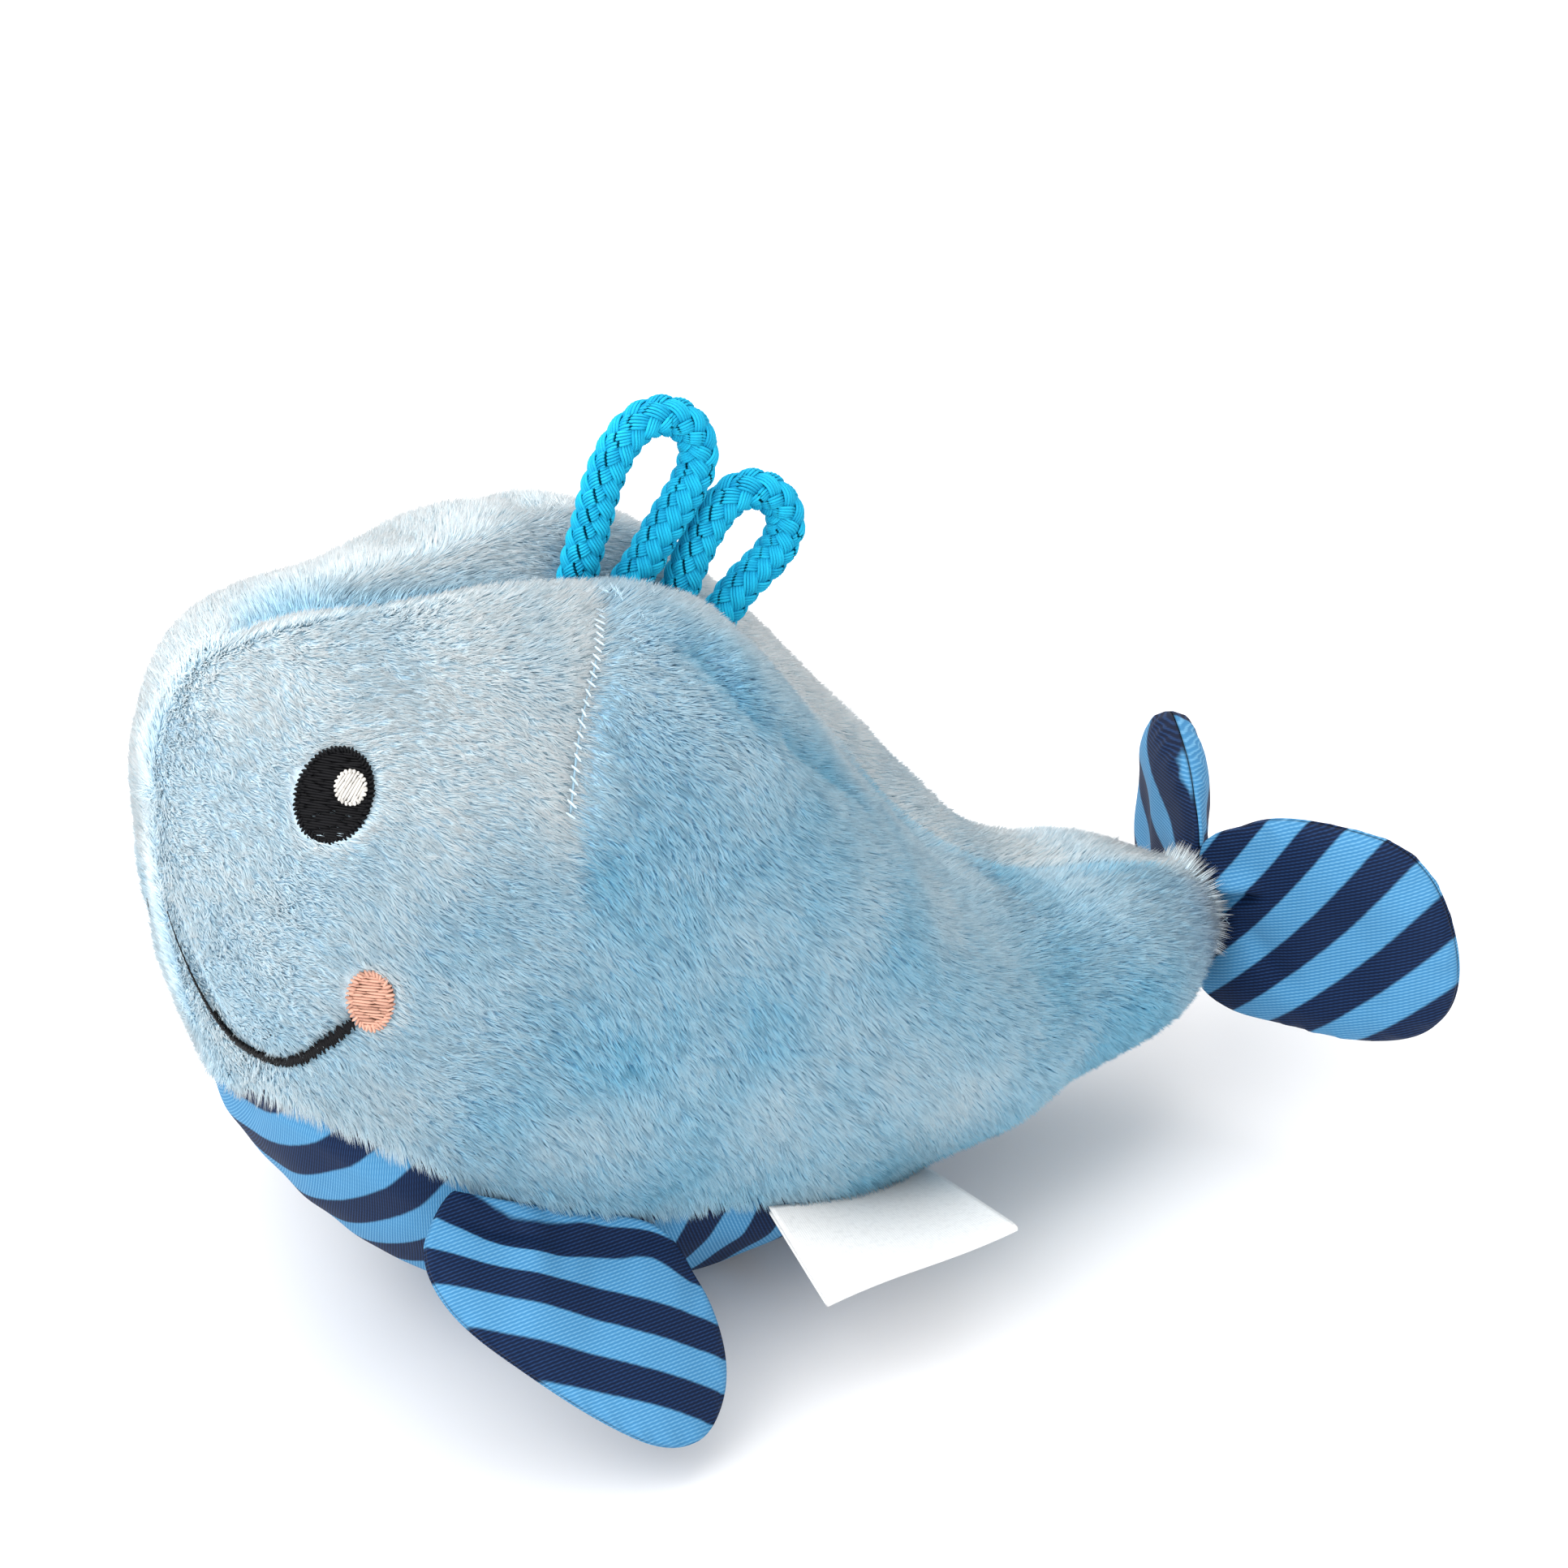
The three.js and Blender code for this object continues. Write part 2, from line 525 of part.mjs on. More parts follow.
// A flat padded limb on a frame: origin at its root, u and v in its plane, w square to them.
// It has two cloths, one each side of the seam round its edge, and a wadding core.
function limb(frame, outline, thickness, rootThickness) {
  const rim = new THREE.SplineCurve(outline.map(([u, v]) => new THREE.Vector2(u, v)));
  const edge = rim.getPoints(OUTLINE_STEPS - 1);
  const middle = edge.reduce((sum, p) => sum.add(p), new THREE.Vector2()).divideScalar(edge.length);
  const reach = Math.max(...edge.map((p) => Math.abs(frame.out(p))));
  const place = (p, w) =>
    frame.origin.clone().addScaledVector(frame.u, p.x).addScaledVector(frame.v, p.y).addScaledVector(frame.w, w);
  const grids = (rings, height) =>
    rings.map((ring) => {
      const row = edge.map((p) => {
        const q = middle.clone().lerp(p, ring);
        const fromRoot = Math.min(1, frame.out(q) / (LIMB_FILL * reach));
        const full = rootThickness + (thickness - rootThickness) * fromRoot ** 0.7;
        return place(q, height(full / 2, ring));
      });
      return [...row, row[0]];
    });
  const crown = (ring) => Math.sqrt(Math.max(0, 1 - ring ** LIMB_CROWN));
  const half = SEAM_GAP / 2;
  const cloth = (sign) => {
    const face = (full, ring) => sign * (half + CLOTH_THICKNESS + (full - CLOTH_THICKNESS - half) * crown(ring));
    const back = (full, ring) => sign * (half + (full - CLOTH_THICKNESS - half) * crown(ring));
    return wall(grids(CLOTH_RINGS, face), grids(CLOTH_RINGS, back), true);
  };
  const coreHeight = (full, ring) =>
    Math.max(half, (full - CLOTH_THICKNESS - half) * crown(ring) - SEAT_GAP + half);
  const core = wall(
    grids(CORE_RINGS, coreHeight),
    grids(CORE_RINGS, (full, ring) => -coreHeight(full, ring)),
    true,
  );
  return { outer: cloth(1), inner: cloth(-1), core };
}

// The left flipper's frame: its root lies on the belly seam, and it hangs out and down.
function finFrame() {
  const middle = (FIN_FRONT + FIN_BACK) / 2;
  const u = skin(FIN_BACK, bellySeam(FIN_BACK)).sub(skin(FIN_FRONT, bellySeam(FIN_FRONT))).normalize();
  const v = new THREE.Vector3(0, -Math.cos(FIN_DROOP), -Math.sin(FIN_DROOP));
  v.addScaledVector(u, -v.dot(u)).normalize();
  const w = v.clone().cross(u);
  if (w.z < 0) w.negate();
  const lean = (FIN_ROOT_THICKNESS / 2) * Math.abs(w.dot(outward(middle, bellySeam(middle))));
  const origin = under(middle, bellySeam(middle), -SEAT_GAP - lean);
  return { origin, u, v, w, out: (p) => p.y };
}

// A fluke's frame, drawn on the left: its root stands in the tail seam, and it spreads back and out.
function flukeFrame({ spread, droop }) {
  const u = new THREE.Vector3(Math.cos(spread), -Math.sin(spread), 0);
  const w = u.clone().cross(new THREE.Vector3(0, 0, 1));
  const lean = (FLUKE_ROOT_THICKNESS / 2) * Math.sin(spread);
  u.applyAxisAngle(w, -droop);
  const v = w.clone().cross(u);
  const endX = Math.max(ridgeX(1), keelX(1));
  const tuck = (FLUKE_ROOT / 2) * Math.abs(v.x);
  const origin = new THREE.Vector3(endX + SEAT_GAP + lean + tuck, -FLUKE_OFFSET, (ridgeZ(1) + keelZ(1)) / 2);
  return { origin, u, v, w, out: (p) => p.x };
}

function spoutLoop(points) {
  const places = points.map(([x, z]) => new THREE.Vector3(x, 0, z));
  return tube(new THREE.CatmullRomCurve3(places), CORD_RADIUS, CORD_SIDES, CORD_STEPS);
}

// The folded ribbon: its open edge follows the seam, and its fold runs straight.
function careLabel() {
  const half = LABEL_LAYER + LABEL_SPLIT / 2;
  const middle = (LABEL_FRONT + LABEL_BACK) / 2;
  const centre = skin(middle, bellySeam(middle));
  const span = [0, 1 / 3, 2 / 3, 1];
  const root = span.map((share) => {
    const at = LABEL_FRONT + share * (LABEL_BACK - LABEL_FRONT);
    return under(at, bellySeam(at), -SEAT_GAP - half);
  });
  const fold = span.map((share) => {
    const level = centre.z + LABEL_LIFT + (share - 0.5) * LABEL_TWIST;
    return new THREE.Vector3(root[0].x + LABEL_SET + share * LABEL_WIDTH, centre.y - LABEL_REACH, level);
  });
  const out = fold[1].clone().sub(root[1]).normalize();
  const normal = out.clone().cross(new THREE.Vector3(1, 0, 0)).normalize();
  if (normal.z < 0) normal.negate();
  const line = (reach, offset) => root.map((p, i) => p.clone().lerp(fold[i], reach).addScaledVector(normal, offset));
  const inside = LABEL_SPLIT / 2;
  const bend = 1 - half / LABEL_REACH;
  const tip = 1 - LABEL_LAYER / LABEL_REACH;
  const around = (end, offset) => {
    const section = [[0, 1], [bend / 2, 1], [bend, 1], [end, 0], [bend, -1], [bend / 2, -1], [0, -1]];
    return section.map(([reach, side]) => line(reach, side * offset));
  };
  return wall(around(1, half), around(tip, inside));
}

const whale = new THREE.Group();

function add(name, geometry, finish) {
  const mesh = new THREE.Mesh(geometry, new THREE.MeshStandardMaterial(COLOURS[finish]));
  mesh.name = name;
  whale.add(mesh);
}

function addPair(name, geometry, finish) {
  add(`${name}_left`, geometry, finish);
  add(`${name}_right`, mirrored(geometry), finish);
}

function addLimb(name, left, right) {
  for (const [side, parts] of [['left', left], ['right', right]]) {
    const turn = side === 'left' ? (piece) => piece : mirrored;
    add(`${name}_outer_cloth_${side}`, turn(parts.outer), 'twill');
    add(`${name}_inner_cloth_${side}`, turn(parts.inner), 'twill');
    add(`${name}_wadding_${side}`, turn(parts.core), 'wadding');
  }
}

const belly = bellyPanel();
const sidePockets = [
  ovalPatch(EYE, SEAT_GAP, POCKET_TOP, STITCH_BACK + SEAT_GAP),
  ovalPatch(CHEEK, SEAT_GAP, POCKET_TOP, STITCH_BACK + SEAT_GAP),
  stitchLine(MOUTH, MOUTH_DEPTH, MOUTH_RADIUS + SEAT_GAP, MOUTH_STEPS),
  stitchLine(DART, DART_DEPTH, DART_RADIUS + SEAT_GAP, DART_STEPS),
];
addPair('plush_side', cut(plushPanel(), sidePockets), 'plush');
add('belly_panel', belly.geometry, 'twill');
addPair('stuffing', waddingHalf(capsulePocket()), 'wadding');

add('rattle_capsule_left', capsulePlugHalf(), 'capsule');
add('rattle_capsule_right', capsuleSocketHalf(), 'capsule');
BALL_REST.forEach((_, number) => add(`rattle_ball_${number + 1}`, ball(number), 'ball'));

const flipper = limb(finFrame(), FIN_OUTLINE, FIN_THICKNESS, FIN_ROOT_THICKNESS);
const [flukeLeft, flukeRight] = [FLUKE_LEFT, FLUKE_RIGHT].map((set) =>
  limb(flukeFrame(set), FLUKE_OUTLINE, FLUKE_THICKNESS, FLUKE_ROOT_THICKNESS),
);
addLimb('flipper', flipper, flipper);
addLimb('fluke', flukeLeft, flukeRight);

add('spout_loop_front', spoutLoop(FRONT_LOOP), 'cord');
add('spout_loop_rear', spoutLoop(REAR_LOOP), 'cord');
add('care_label', careLabel(), 'label');

const shinePocket = ovalPatch(SHINE, SEAT_GAP, POCKET_TOP, SHINE_BACK + SEAT_GAP);
addPair('eye', cut(ovalPatch(EYE, 0, STITCH_TOP, STITCH_BACK), [shinePocket]), 'black');
addPair('eye_shine', ovalPatch(SHINE, 0, SHINE_TOP, SHINE_BACK), 'white');
addPair('cheek', ovalPatch(CHEEK, 0, STITCH_TOP, STITCH_BACK), 'pink');
addPair('mouth', stitchLine(MOUTH, MOUTH_DEPTH, MOUTH_RADIUS, MOUTH_STEPS), 'black');
addPair('dart_thread', stitchLine(DART, DART_DEPTH, DART_RADIUS, DART_STEPS), 'thread');

// The origin is under the middle of the whole whale, on what the belly stands on.
const extent = new THREE.Box3().setFromObject(whale);
whale.position.set(-(extent.min.x + extent.max.x) / 2, 0, -belly.floor);
whale.updateMatrixWorld(true);

export default whale;
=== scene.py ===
"""A soft whale rattle on its belly: plush sides, a striped twill belly and limbs, a spout of braided cord."""
import logging
import math
from dataclasses import dataclass, field
from enum import Enum
from typing import Any, Sequence

import bpy
import numpy as np
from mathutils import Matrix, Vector
from mathutils.kdtree import KDTree


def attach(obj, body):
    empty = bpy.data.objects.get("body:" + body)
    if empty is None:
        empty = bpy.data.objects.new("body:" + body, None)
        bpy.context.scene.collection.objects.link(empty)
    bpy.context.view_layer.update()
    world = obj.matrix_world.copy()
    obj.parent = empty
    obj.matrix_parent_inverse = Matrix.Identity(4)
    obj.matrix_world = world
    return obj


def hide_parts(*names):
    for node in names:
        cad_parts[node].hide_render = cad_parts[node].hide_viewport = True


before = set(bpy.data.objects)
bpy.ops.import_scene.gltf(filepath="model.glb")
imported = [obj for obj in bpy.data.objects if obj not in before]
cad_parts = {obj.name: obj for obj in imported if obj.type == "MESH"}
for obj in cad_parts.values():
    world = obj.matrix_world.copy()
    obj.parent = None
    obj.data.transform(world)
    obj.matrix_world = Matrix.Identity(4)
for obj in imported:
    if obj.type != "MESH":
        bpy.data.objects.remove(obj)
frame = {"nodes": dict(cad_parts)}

LOG = logging.getLogger("whale")
MM = 0.001
DEG = math.pi / 180
ORIGIN = np.array([-17.4504, 0.0, -2.4756])  # from the sewing pattern's zero to the frame's, in mm
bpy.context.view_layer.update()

Places = np.ndarray
VIEW_AZIMUTH, VIEW_ELEVATION = -25 * DEG, 27 * DEG


def view_axes() -> tuple[Places, Places, Places]:
    """The directions from the whale to the camera, and to the picture's right and top."""
    a, e = VIEW_AZIMUTH, VIEW_ELEVATION
    back = np.array([math.sin(a) * math.cos(e), -math.cos(a) * math.cos(e), math.sin(e)])
    right = np.array([math.cos(a), math.sin(a), 0.0])
    return back, right, np.cross(back, right)


class Side(Enum):
    """A side of the whale, and the sign of its angles round the body."""

    LEFT = "left"
    RIGHT = "right"

    @property
    def sign(self) -> int:
        """1 on the left, -1 on the right."""
        return 1 if self is Side.LEFT else -1


# Shader sockets that are worked with as numbers


class Value:
    """A number or a colour inside a material, which Python's operators work on."""

    def __init__(self, nodes: "Nodes", socket: Any) -> None:
        self.nodes = nodes
        self.socket = socket

    def _maths(self, operation: str, *others: Any) -> "Value":
        """This number and others put through a Math node."""
        return self.nodes.add("ShaderNodeMath", {"operation": operation}, dict(enumerate((self, *others))))

    def __add__(self, other: Any) -> "Value":
        return self._maths("ADD", other)

    __radd__ = __add__

    def __sub__(self, other: Any) -> "Value":
        return self._maths("SUBTRACT", other)

    def __rsub__(self, other: Any) -> "Value":
        return self.nodes.add("ShaderNodeMath", {"operation": "SUBTRACT"}, {0: other, 1: self})

    def __mul__(self, other: Any) -> "Value":
        return self._maths("MULTIPLY", other)

    __rmul__ = __mul__

    def __truediv__(self, other: Any) -> "Value":
        return self._maths("DIVIDE", other)

    def __pow__(self, other: Any) -> "Value":
        return self._maths("POWER", other)

    def fraction(self) -> "Value":
        """What is left of the number past its whole part."""
        return self._maths("FRACT")

    def sine(self) -> "Value":
        """The sine of the number."""
        return self._maths("SINE")

    def size(self) -> "Value":
        """The number without its sign."""
        return self._maths("ABSOLUTE")

    def ramp(self, low: float, high: float) -> "Value":
        """0 below low, 1 above high, and smooth between them."""
        return self.nodes.add(
            "ShaderNodeMapRange", {"interpolation_type": "SMOOTHSTEP"}, {"Value": self, 1: low, 2: high}
        )


class Nodes:
    """The node tree of one material, with a Principled shader at its end."""

    def __init__(self, name: str) -> None:
        self.material = bpy.data.materials.new(name)
        self.material.use_nodes = True
        self.tree = self.material.node_tree
        self.shader = self.tree.nodes["Principled BSDF"]

    def add(self, kind: str, settings: dict[str, Any], sockets: dict[Any, Any], out: Any = 0) -> Value:
        """Adds any node.

        Args:
            kind: The node's type.
            settings: Its properties, set before its sockets.
            sockets: Values or links for its inputs, by name or number.
            out: The output that is wanted.

        Returns:
            That output.
        """
        node = self.tree.nodes.new(kind)
        for name, value in settings.items():
            setattr(node, name, value)
        for name, value in sockets.items():
            if isinstance(value, Value):
                self.tree.links.new(value.socket, node.inputs[name])
            else:
                node.inputs[name].default_value = value
        return Value(self, node.outputs[out])

    def layer(self, name: str) -> tuple[Value, Value]:
        """The two coordinates of a UV map."""
        both = self.add("ShaderNodeUVMap", {"uv_map": name}, {})
        split = self.add("ShaderNodeSeparateXYZ", {}, {0: both})
        return split, Value(self, split.socket.node.outputs[1])

    def strand(self) -> tuple[Value, Value, Value]:
        """A strand's own tone, how far along or how high the place is, and how pale the strand is, which is
        its painted light and shade.
        """
        all_three = self.add("ShaderNodeAttribute", {"attribute_name": "strand"}, {}, "Vector")
        split = self.add("ShaderNodeSeparateXYZ", {}, {0: all_three})
        outputs = split.socket.node.outputs
        return split, Value(self, outputs[1]), Value(self, outputs[2])

    def noise(self, scale: float, detail: float = 2.0, roughness: float = 0.5) -> Value:
        """Noise over the object's own coordinates, in features a metre."""
        where = self.add("ShaderNodeTexCoord", {}, {}, "Object")
        sockets = {"Vector": where, "Scale": scale, "Detail": detail, "Roughness": roughness}
        return self.add("ShaderNodeTexNoise", {}, sockets)

    def mix(self, share: Any, first: Any, second: Any) -> Value:
        """A colour between two colours."""
        return self.add("ShaderNodeMix", {"data_type": "RGBA"}, {0: share, 6: first, 7: second}, 2)

    def shade(self, colour: Value, by: Value) -> Value:
        """A colour made darker or lighter by a number."""
        grey = self.add("ShaderNodeCombineColor", {}, {0: by, 1: by, 2: by})
        settings = {"data_type": "RGBA", "blend_type": "MULTIPLY"}
        return self.add("ShaderNodeMix", settings, {0: 1.0, 6: colour, 7: grey}, 2)

    def bump(self, height: Value, strength: float, depth: float) -> Value:
        """A normal from a height, in metres."""
        return self.add("ShaderNodeBump", {}, {"Strength": strength, "Distance": depth, "Height": height})

    def finish(self, **sockets: Any) -> bpy.types.Material:
        """Sets the shader's sockets, whose names are written with _ for a space, and returns the material."""
        for name, value in sockets.items():
            socket = self.shader.inputs[name.replace("_", " ")]
            if isinstance(value, Value):
                self.tree.links.new(value.socket, socket)
            else:
                socket.default_value = value
        return self.material


def tint(red: int, green: int, blue: int) -> tuple[float, float, float, float]:
    """A colour given in sRGB from 0 to 255, as the shader wants it."""
    shares = (red / 255, green / 255, blue / 255)
    linear = [c / 12.92 if c <= 0.04045 else ((c + 0.055) / 1.055) ** 2.4 for c in shares]
    return (linear[0], linear[1], linear[2], 1.0)


# Finishes


@dataclass(frozen=True)
class PileFinish:
    """Brushed polyester pile: each fibre is deeper in colour at its root, which is painted shade of the
    pile's depth, and nearly white at its tip. A paler copy of each colour, mixed in by how pale the strand
    is, carries painted light.
    """

    # Each colour below has a paler copy: the plain ones are the fibre in painted shade, darkest at the root,
    # and the paler ones are the same fibre in painted light.
    root: tuple = tint(94, 162, 200)
    lit_root: tuple = tint(180, 208, 222)
    middle: tuple = tint(132, 204, 234)
    lit_middle: tuple = tint(222, 237, 243)
    tip: tuple = tint(160, 216, 241)
    lit_tip: tuple = tint(247, 250, 251)

    def material(self) -> bpy.types.Material:
        """Builds the material."""
        n = Nodes("plush_pile")
        tone, along, pale = n.strand()
        # The root colour is painted shade deep in the pile, and the paleness mixes in painted light.
        root_shade = n.mix(pale, self.root, self.lit_root)
        low = n.mix(along.ramp(0.0, 0.5), root_shade, n.mix(pale, self.middle, self.lit_middle))
        colour = n.mix(along.ramp(0.35, 1.0), low, n.mix(pale, self.tip, self.lit_tip))
        colour = n.mix((0.55 - tone).ramp(0.0, 0.5) * 0.6, colour, root_shade)
        colour = n.shade(colour, 0.9 + 0.18 * tone)
        return n.finish(Base_Color=colour, Roughness=0.8, Specular_IOR_Level=0.2)


@dataclass(frozen=True)
class KnitFinish:
    """The knitted backing that shows between the fibres, with paler copies of its colours mixed in by a map
    that carries the pile's painted light and shade.
    """

    thread: tuple = tint(150, 198, 224)
    shadow: tuple = tint(118, 172, 204)
    # Paler copies of the knit's colours: painted light.
    lit_thread: tuple = tint(222, 236, 243)
    lit_shadow: tuple = tint(198, 220, 233)
    loops: float = 2200.0

    def material(self) -> bpy.types.Material:
        """Builds the material."""
        n = Nodes("plush_backing")
        grain = n.noise(self.loops, 3.0, 0.6)
        pale, _ = n.layer("painted_light")
        loop = grain.ramp(0.35, 0.7)
        deep = n.mix(loop, self.shadow, self.thread)
        colour = n.mix(pale, deep, n.mix(loop, self.lit_shadow, self.lit_thread))
        return n.finish(Base_Color=colour, Roughness=0.95, Normal=n.bump(grain, 0.6, 0.0004))


@dataclass(frozen=True)
class TwillFinish:
    """Two-colour striped twill with fine slanting ribs. The stripes are counted in the map 'stripe'."""

    navy: tuple = tint(8, 22, 48)
    navy_rib: tuple = tint(30, 58, 100)
    sky: tuple = tint(60, 122, 166)
    sky_rib: tuple = tint(108, 164, 200)
    rib: float = 0.42  # between two ribs, in mm
    rib_slant: float = -26 * DEG
    fleck: float = 0.7  # between two flecks along a rib, in mm
    edge: float = 0.05  # softness of a stripe's edge, in stripes

    def material(self) -> bpy.types.Material:
        """Builds the material."""
        n = Nodes("striped_twill")
        count, _ = n.layer("stripe")
        across, along = n.layer("weave")
        wobble = n.noise(900.0) - 0.5
        turn = (count * 0.5 + 0.25 + 0.02 * wobble).fraction()
        away = ((turn - 0.5).size() - 0.25) * 2
        sky = away.ramp(-self.edge, self.edge)
        c, s = math.cos(self.rib_slant), math.sin(self.rib_slant)
        ribs = (along * (c / self.rib) - across * (s / self.rib)) * (2 * math.pi)
        height = ribs.sine() * 0.5 + 0.5
        shift = (along * (c / self.rib) - across * (s / self.rib)) * math.pi
        flecks = (across * (2 * math.pi / self.fleck) + shift).sine() * 0.5 + 0.5
        weave = height * (0.7 + 0.3 * flecks)
        lit = weave.ramp(0.25, 0.95) * 0.75
        dark = n.mix(lit, self.navy, self.navy_rib)
        light = n.mix(lit, self.sky, self.sky_rib)
        colour = n.mix(sky, dark, light)
        colour = n.shade(colour, 0.94 + 0.12 * n.noise(260.0))
        return n.finish(
            Base_Color=colour, Roughness=0.7, Normal=n.bump(weave, 0.35, 0.00012), Specular_IOR_Level=0.12,
        )


@dataclass(frozen=True)
class ThreadFinish:
    """Shiny embroidery thread, each stitch of its own tone, and darker where it lies low: painted shade under
    the stitches and in the gaps between them.
    """

    name: str
    # deep and bright: the thread in painted shade and in painted light; random tone also moves between them.
    deep: tuple
    bright: tuple
    roughness: float = 0.5

    def material(self) -> bpy.types.Material:
        """Builds the material."""
        n = Nodes(self.name)
        tone, height, _ = n.strand()
        fibres = n.noise(5200.0, 2.0)
        # How high the place lies adds painted light to tops and painted shade to low parts.
        colour = n.mix((tone * 0.45 + height * 0.35 + fibres * 0.35).ramp(0.15, 0.95), self.deep, self.bright)
        return n.finish(
            Base_Color=colour, Roughness=self.roughness, Normal=n.bump(fibres, 0.4, 0.00008),
            Specular_IOR_Level=0.1,
        )


@dataclass(frozen=True)
class RibbonFinish:
    """White satin ribbon with a fine lengthwise rib."""

    thread: tuple = tint(250, 249, 247)
    shadow: tuple = tint(228, 227, 226)
    rib: float = 0.28

    def material(self) -> bpy.types.Material:
        """Builds the material."""
        n = Nodes("satin_ribbon")
        across, along = n.layer("weave")
        ribs = (across * (2 * math.pi / self.rib)).sine() * 0.5 + 0.5
        ticks = (along * (2 * math.pi / self.rib)).sine() * 0.5 + 0.5
        weave = ribs * 0.6 + ticks * 0.4
        colour = n.mix(weave * n.noise(1600.0).ramp(0.15, 0.6), self.shadow, self.thread)
        rib = n.bump(weave, 0.3, 0.00005)
        return n.finish(Base_Color=colour, Roughness=0.42, Normal=rib, Sheen_Weight=0.2)


@dataclass(frozen=True)
class WaddingFinish:
    """White polyester fibre, greyer in the hollows between its curls: painted shade."""

    fibre: tuple = tint(244, 244, 240)
    # The greyer colour is painted shade in the curls' hollows.
    hollow_shade: tuple = tint(206, 208, 208)

    def material(self) -> bpy.types.Material:
        """Builds the material."""
        n = Nodes("wadding")
        curls = n.noise(900.0, 6.0, 0.75)
        colour = n.mix(curls.ramp(0.3, 0.65), self.hollow_shade, self.fibre)
        fluff = n.bump(curls, 0.9, 0.0006)
        return n.finish(Base_Color=colour, Roughness=0.95, Normal=fluff, Sheen_Weight=0.4)


@dataclass(frozen=True)
class CapsuleFinish:
    """Blow-moulded milky plastic with faint swirls."""

    body: tuple = tint(226, 232, 236)
    swirl: tuple = tint(212, 220, 226)

    def material(self) -> bpy.types.Material:
        """Builds the material."""
        n = Nodes("gloss_plastic")
        flow = n.noise(60.0, 3.0)
        fine = n.noise(1400.0)
        return n.finish(
            Base_Color=n.mix(flow, self.body, self.swirl), Roughness=0.28 + 0.12 * fine, Coat_Weight=0.3,
            Normal=n.bump(fine, 0.08, 0.0001),
        )


@dataclass(frozen=True)
class BallFinish:
    """Tumbled steel."""

    steel: tuple = tint(186, 190, 196)
    worn: tuple = tint(150, 154, 160)

    def material(self) -> bpy.types.Material:
        """Builds the material."""
        n = Nodes("brushed_steel")
        marks = n.noise(2600.0, 5.0, 0.7)
        return n.finish(
            Base_Color=n.mix(marks, self.worn, self.steel), Metallic=1.0, Roughness=0.22 + 0.25 * marks,
            Normal=n.bump(marks, 0.1, 0.00005),
        )


@dataclass(frozen=True)
class FloorFinish:
    """A matt white sweep."""

    white: tuple = tint(234, 234, 235)

    def material(self) -> bpy.types.Material:
        """Builds the material."""
        n = Nodes("studio_floor")
        return n.finish(Base_Color=self.white, Roughness=0.9, Specular_IOR_Level=0.1)


# Meshes from arrays of points, in mm in the frame


@dataclass
class Sheet:
    """Points and triangles that become one mesh, with what its materials read."""

    points: Places
    faces: np.ndarray
    strand: Places | None = None  # tone, height and paleness of each point
    maps: dict[str, Places] = field(default_factory=dict)  # two coordinates for each point

    def piece(self, name: str, material: bpy.types.Material) -> bpy.types.Object:
        """Makes the object.

        Args:
            name: Its name.
            material: Its finish.

        Returns:
            The object, at the origin, with its place in its mesh.
        """
        mesh = bpy.data.meshes.new(name)
        sides = self.faces.shape[1]
        mesh.vertices.add(len(self.points))
        mesh.vertices.foreach_set("co", (self.points * MM).astype(np.float32).ravel())
        mesh.loops.add(self.faces.size)
        mesh.loops.foreach_set("vertex_index", self.faces.astype(np.int32).ravel())
        mesh.polygons.add(len(self.faces))
        mesh.polygons.foreach_set("loop_start", np.arange(0, self.faces.size, sides, dtype=np.int32))
        mesh.polygons.foreach_set("use_smooth", np.full(len(self.faces), True))
        for label, places in self.maps.items():
            layer = mesh.uv_layers.new(name=label)
            layer.uv.foreach_set("vector", places[self.faces.ravel()].astype(np.float32).ravel())
        if self.strand is not None:
            held = mesh.attributes.new("strand", "FLOAT_VECTOR", "POINT")
            held.data.foreach_set("vector", self.strand.astype(np.float32).ravel())
        mesh.update(calc_edges=True)
        mesh.validate()
        mesh.materials.append(material)
        made = bpy.data.objects.new(name, mesh)
        bpy.context.scene.collection.objects.link(made)
        return made

    @staticmethod
    def joined(sheets: Sequence["Sheet"]) -> "Sheet":
        """One sheet from several with the same kinds of maps."""
        starts = np.cumsum([0] + [len(s.points) for s in sheets])
        strand = None if sheets[0].strand is None else np.concatenate([s.strand for s in sheets])
        return Sheet(
            np.concatenate([s.points for s in sheets]),
            np.concatenate([s.faces + start for s, start in zip(sheets, starts)]),
            strand,
            {key: np.concatenate([s.maps[key] for s in sheets]) for key in sheets[0].maps},
        )


def grid_faces(rows: int, columns: int, wrapped: bool = False) -> np.ndarray:
    """Quads over a grid of points, with its columns closed on themselves if wrapped."""
    i, j = np.meshgrid(np.arange(rows - 1), np.arange(columns if wrapped else columns - 1), indexing="ij")
    after = (j + 1) % columns
    here, below = i * columns, (i + 1) * columns
    quads = np.stack([here + j, below + j, below + after, here + after], -1)
    return quads.reshape(-1, 4)


def even_map(rows: int, columns: int) -> Places:
    """Two coordinates from 0 to 1 for each point of a grid."""
    return np.stack(np.meshgrid(np.linspace(0, 1, rows), np.linspace(0, 1, columns), indexing="ij"), -1)


def halved(quads: np.ndarray) -> np.ndarray:
    """Two triangles for each quad."""
    return np.concatenate([quads[:, [0, 1, 2]], quads[:, [0, 2, 3]]])


def outward_faces(points: Places, triangles: np.ndarray) -> np.ndarray:
    """The triangles of a closed form, turned to face out."""
    a, b, c = (points[triangles[:, k]] for k in range(3))
    return triangles if np.einsum("ij,ij->", a, np.cross(b, c)) > 0 else triangles[:, ::-1]


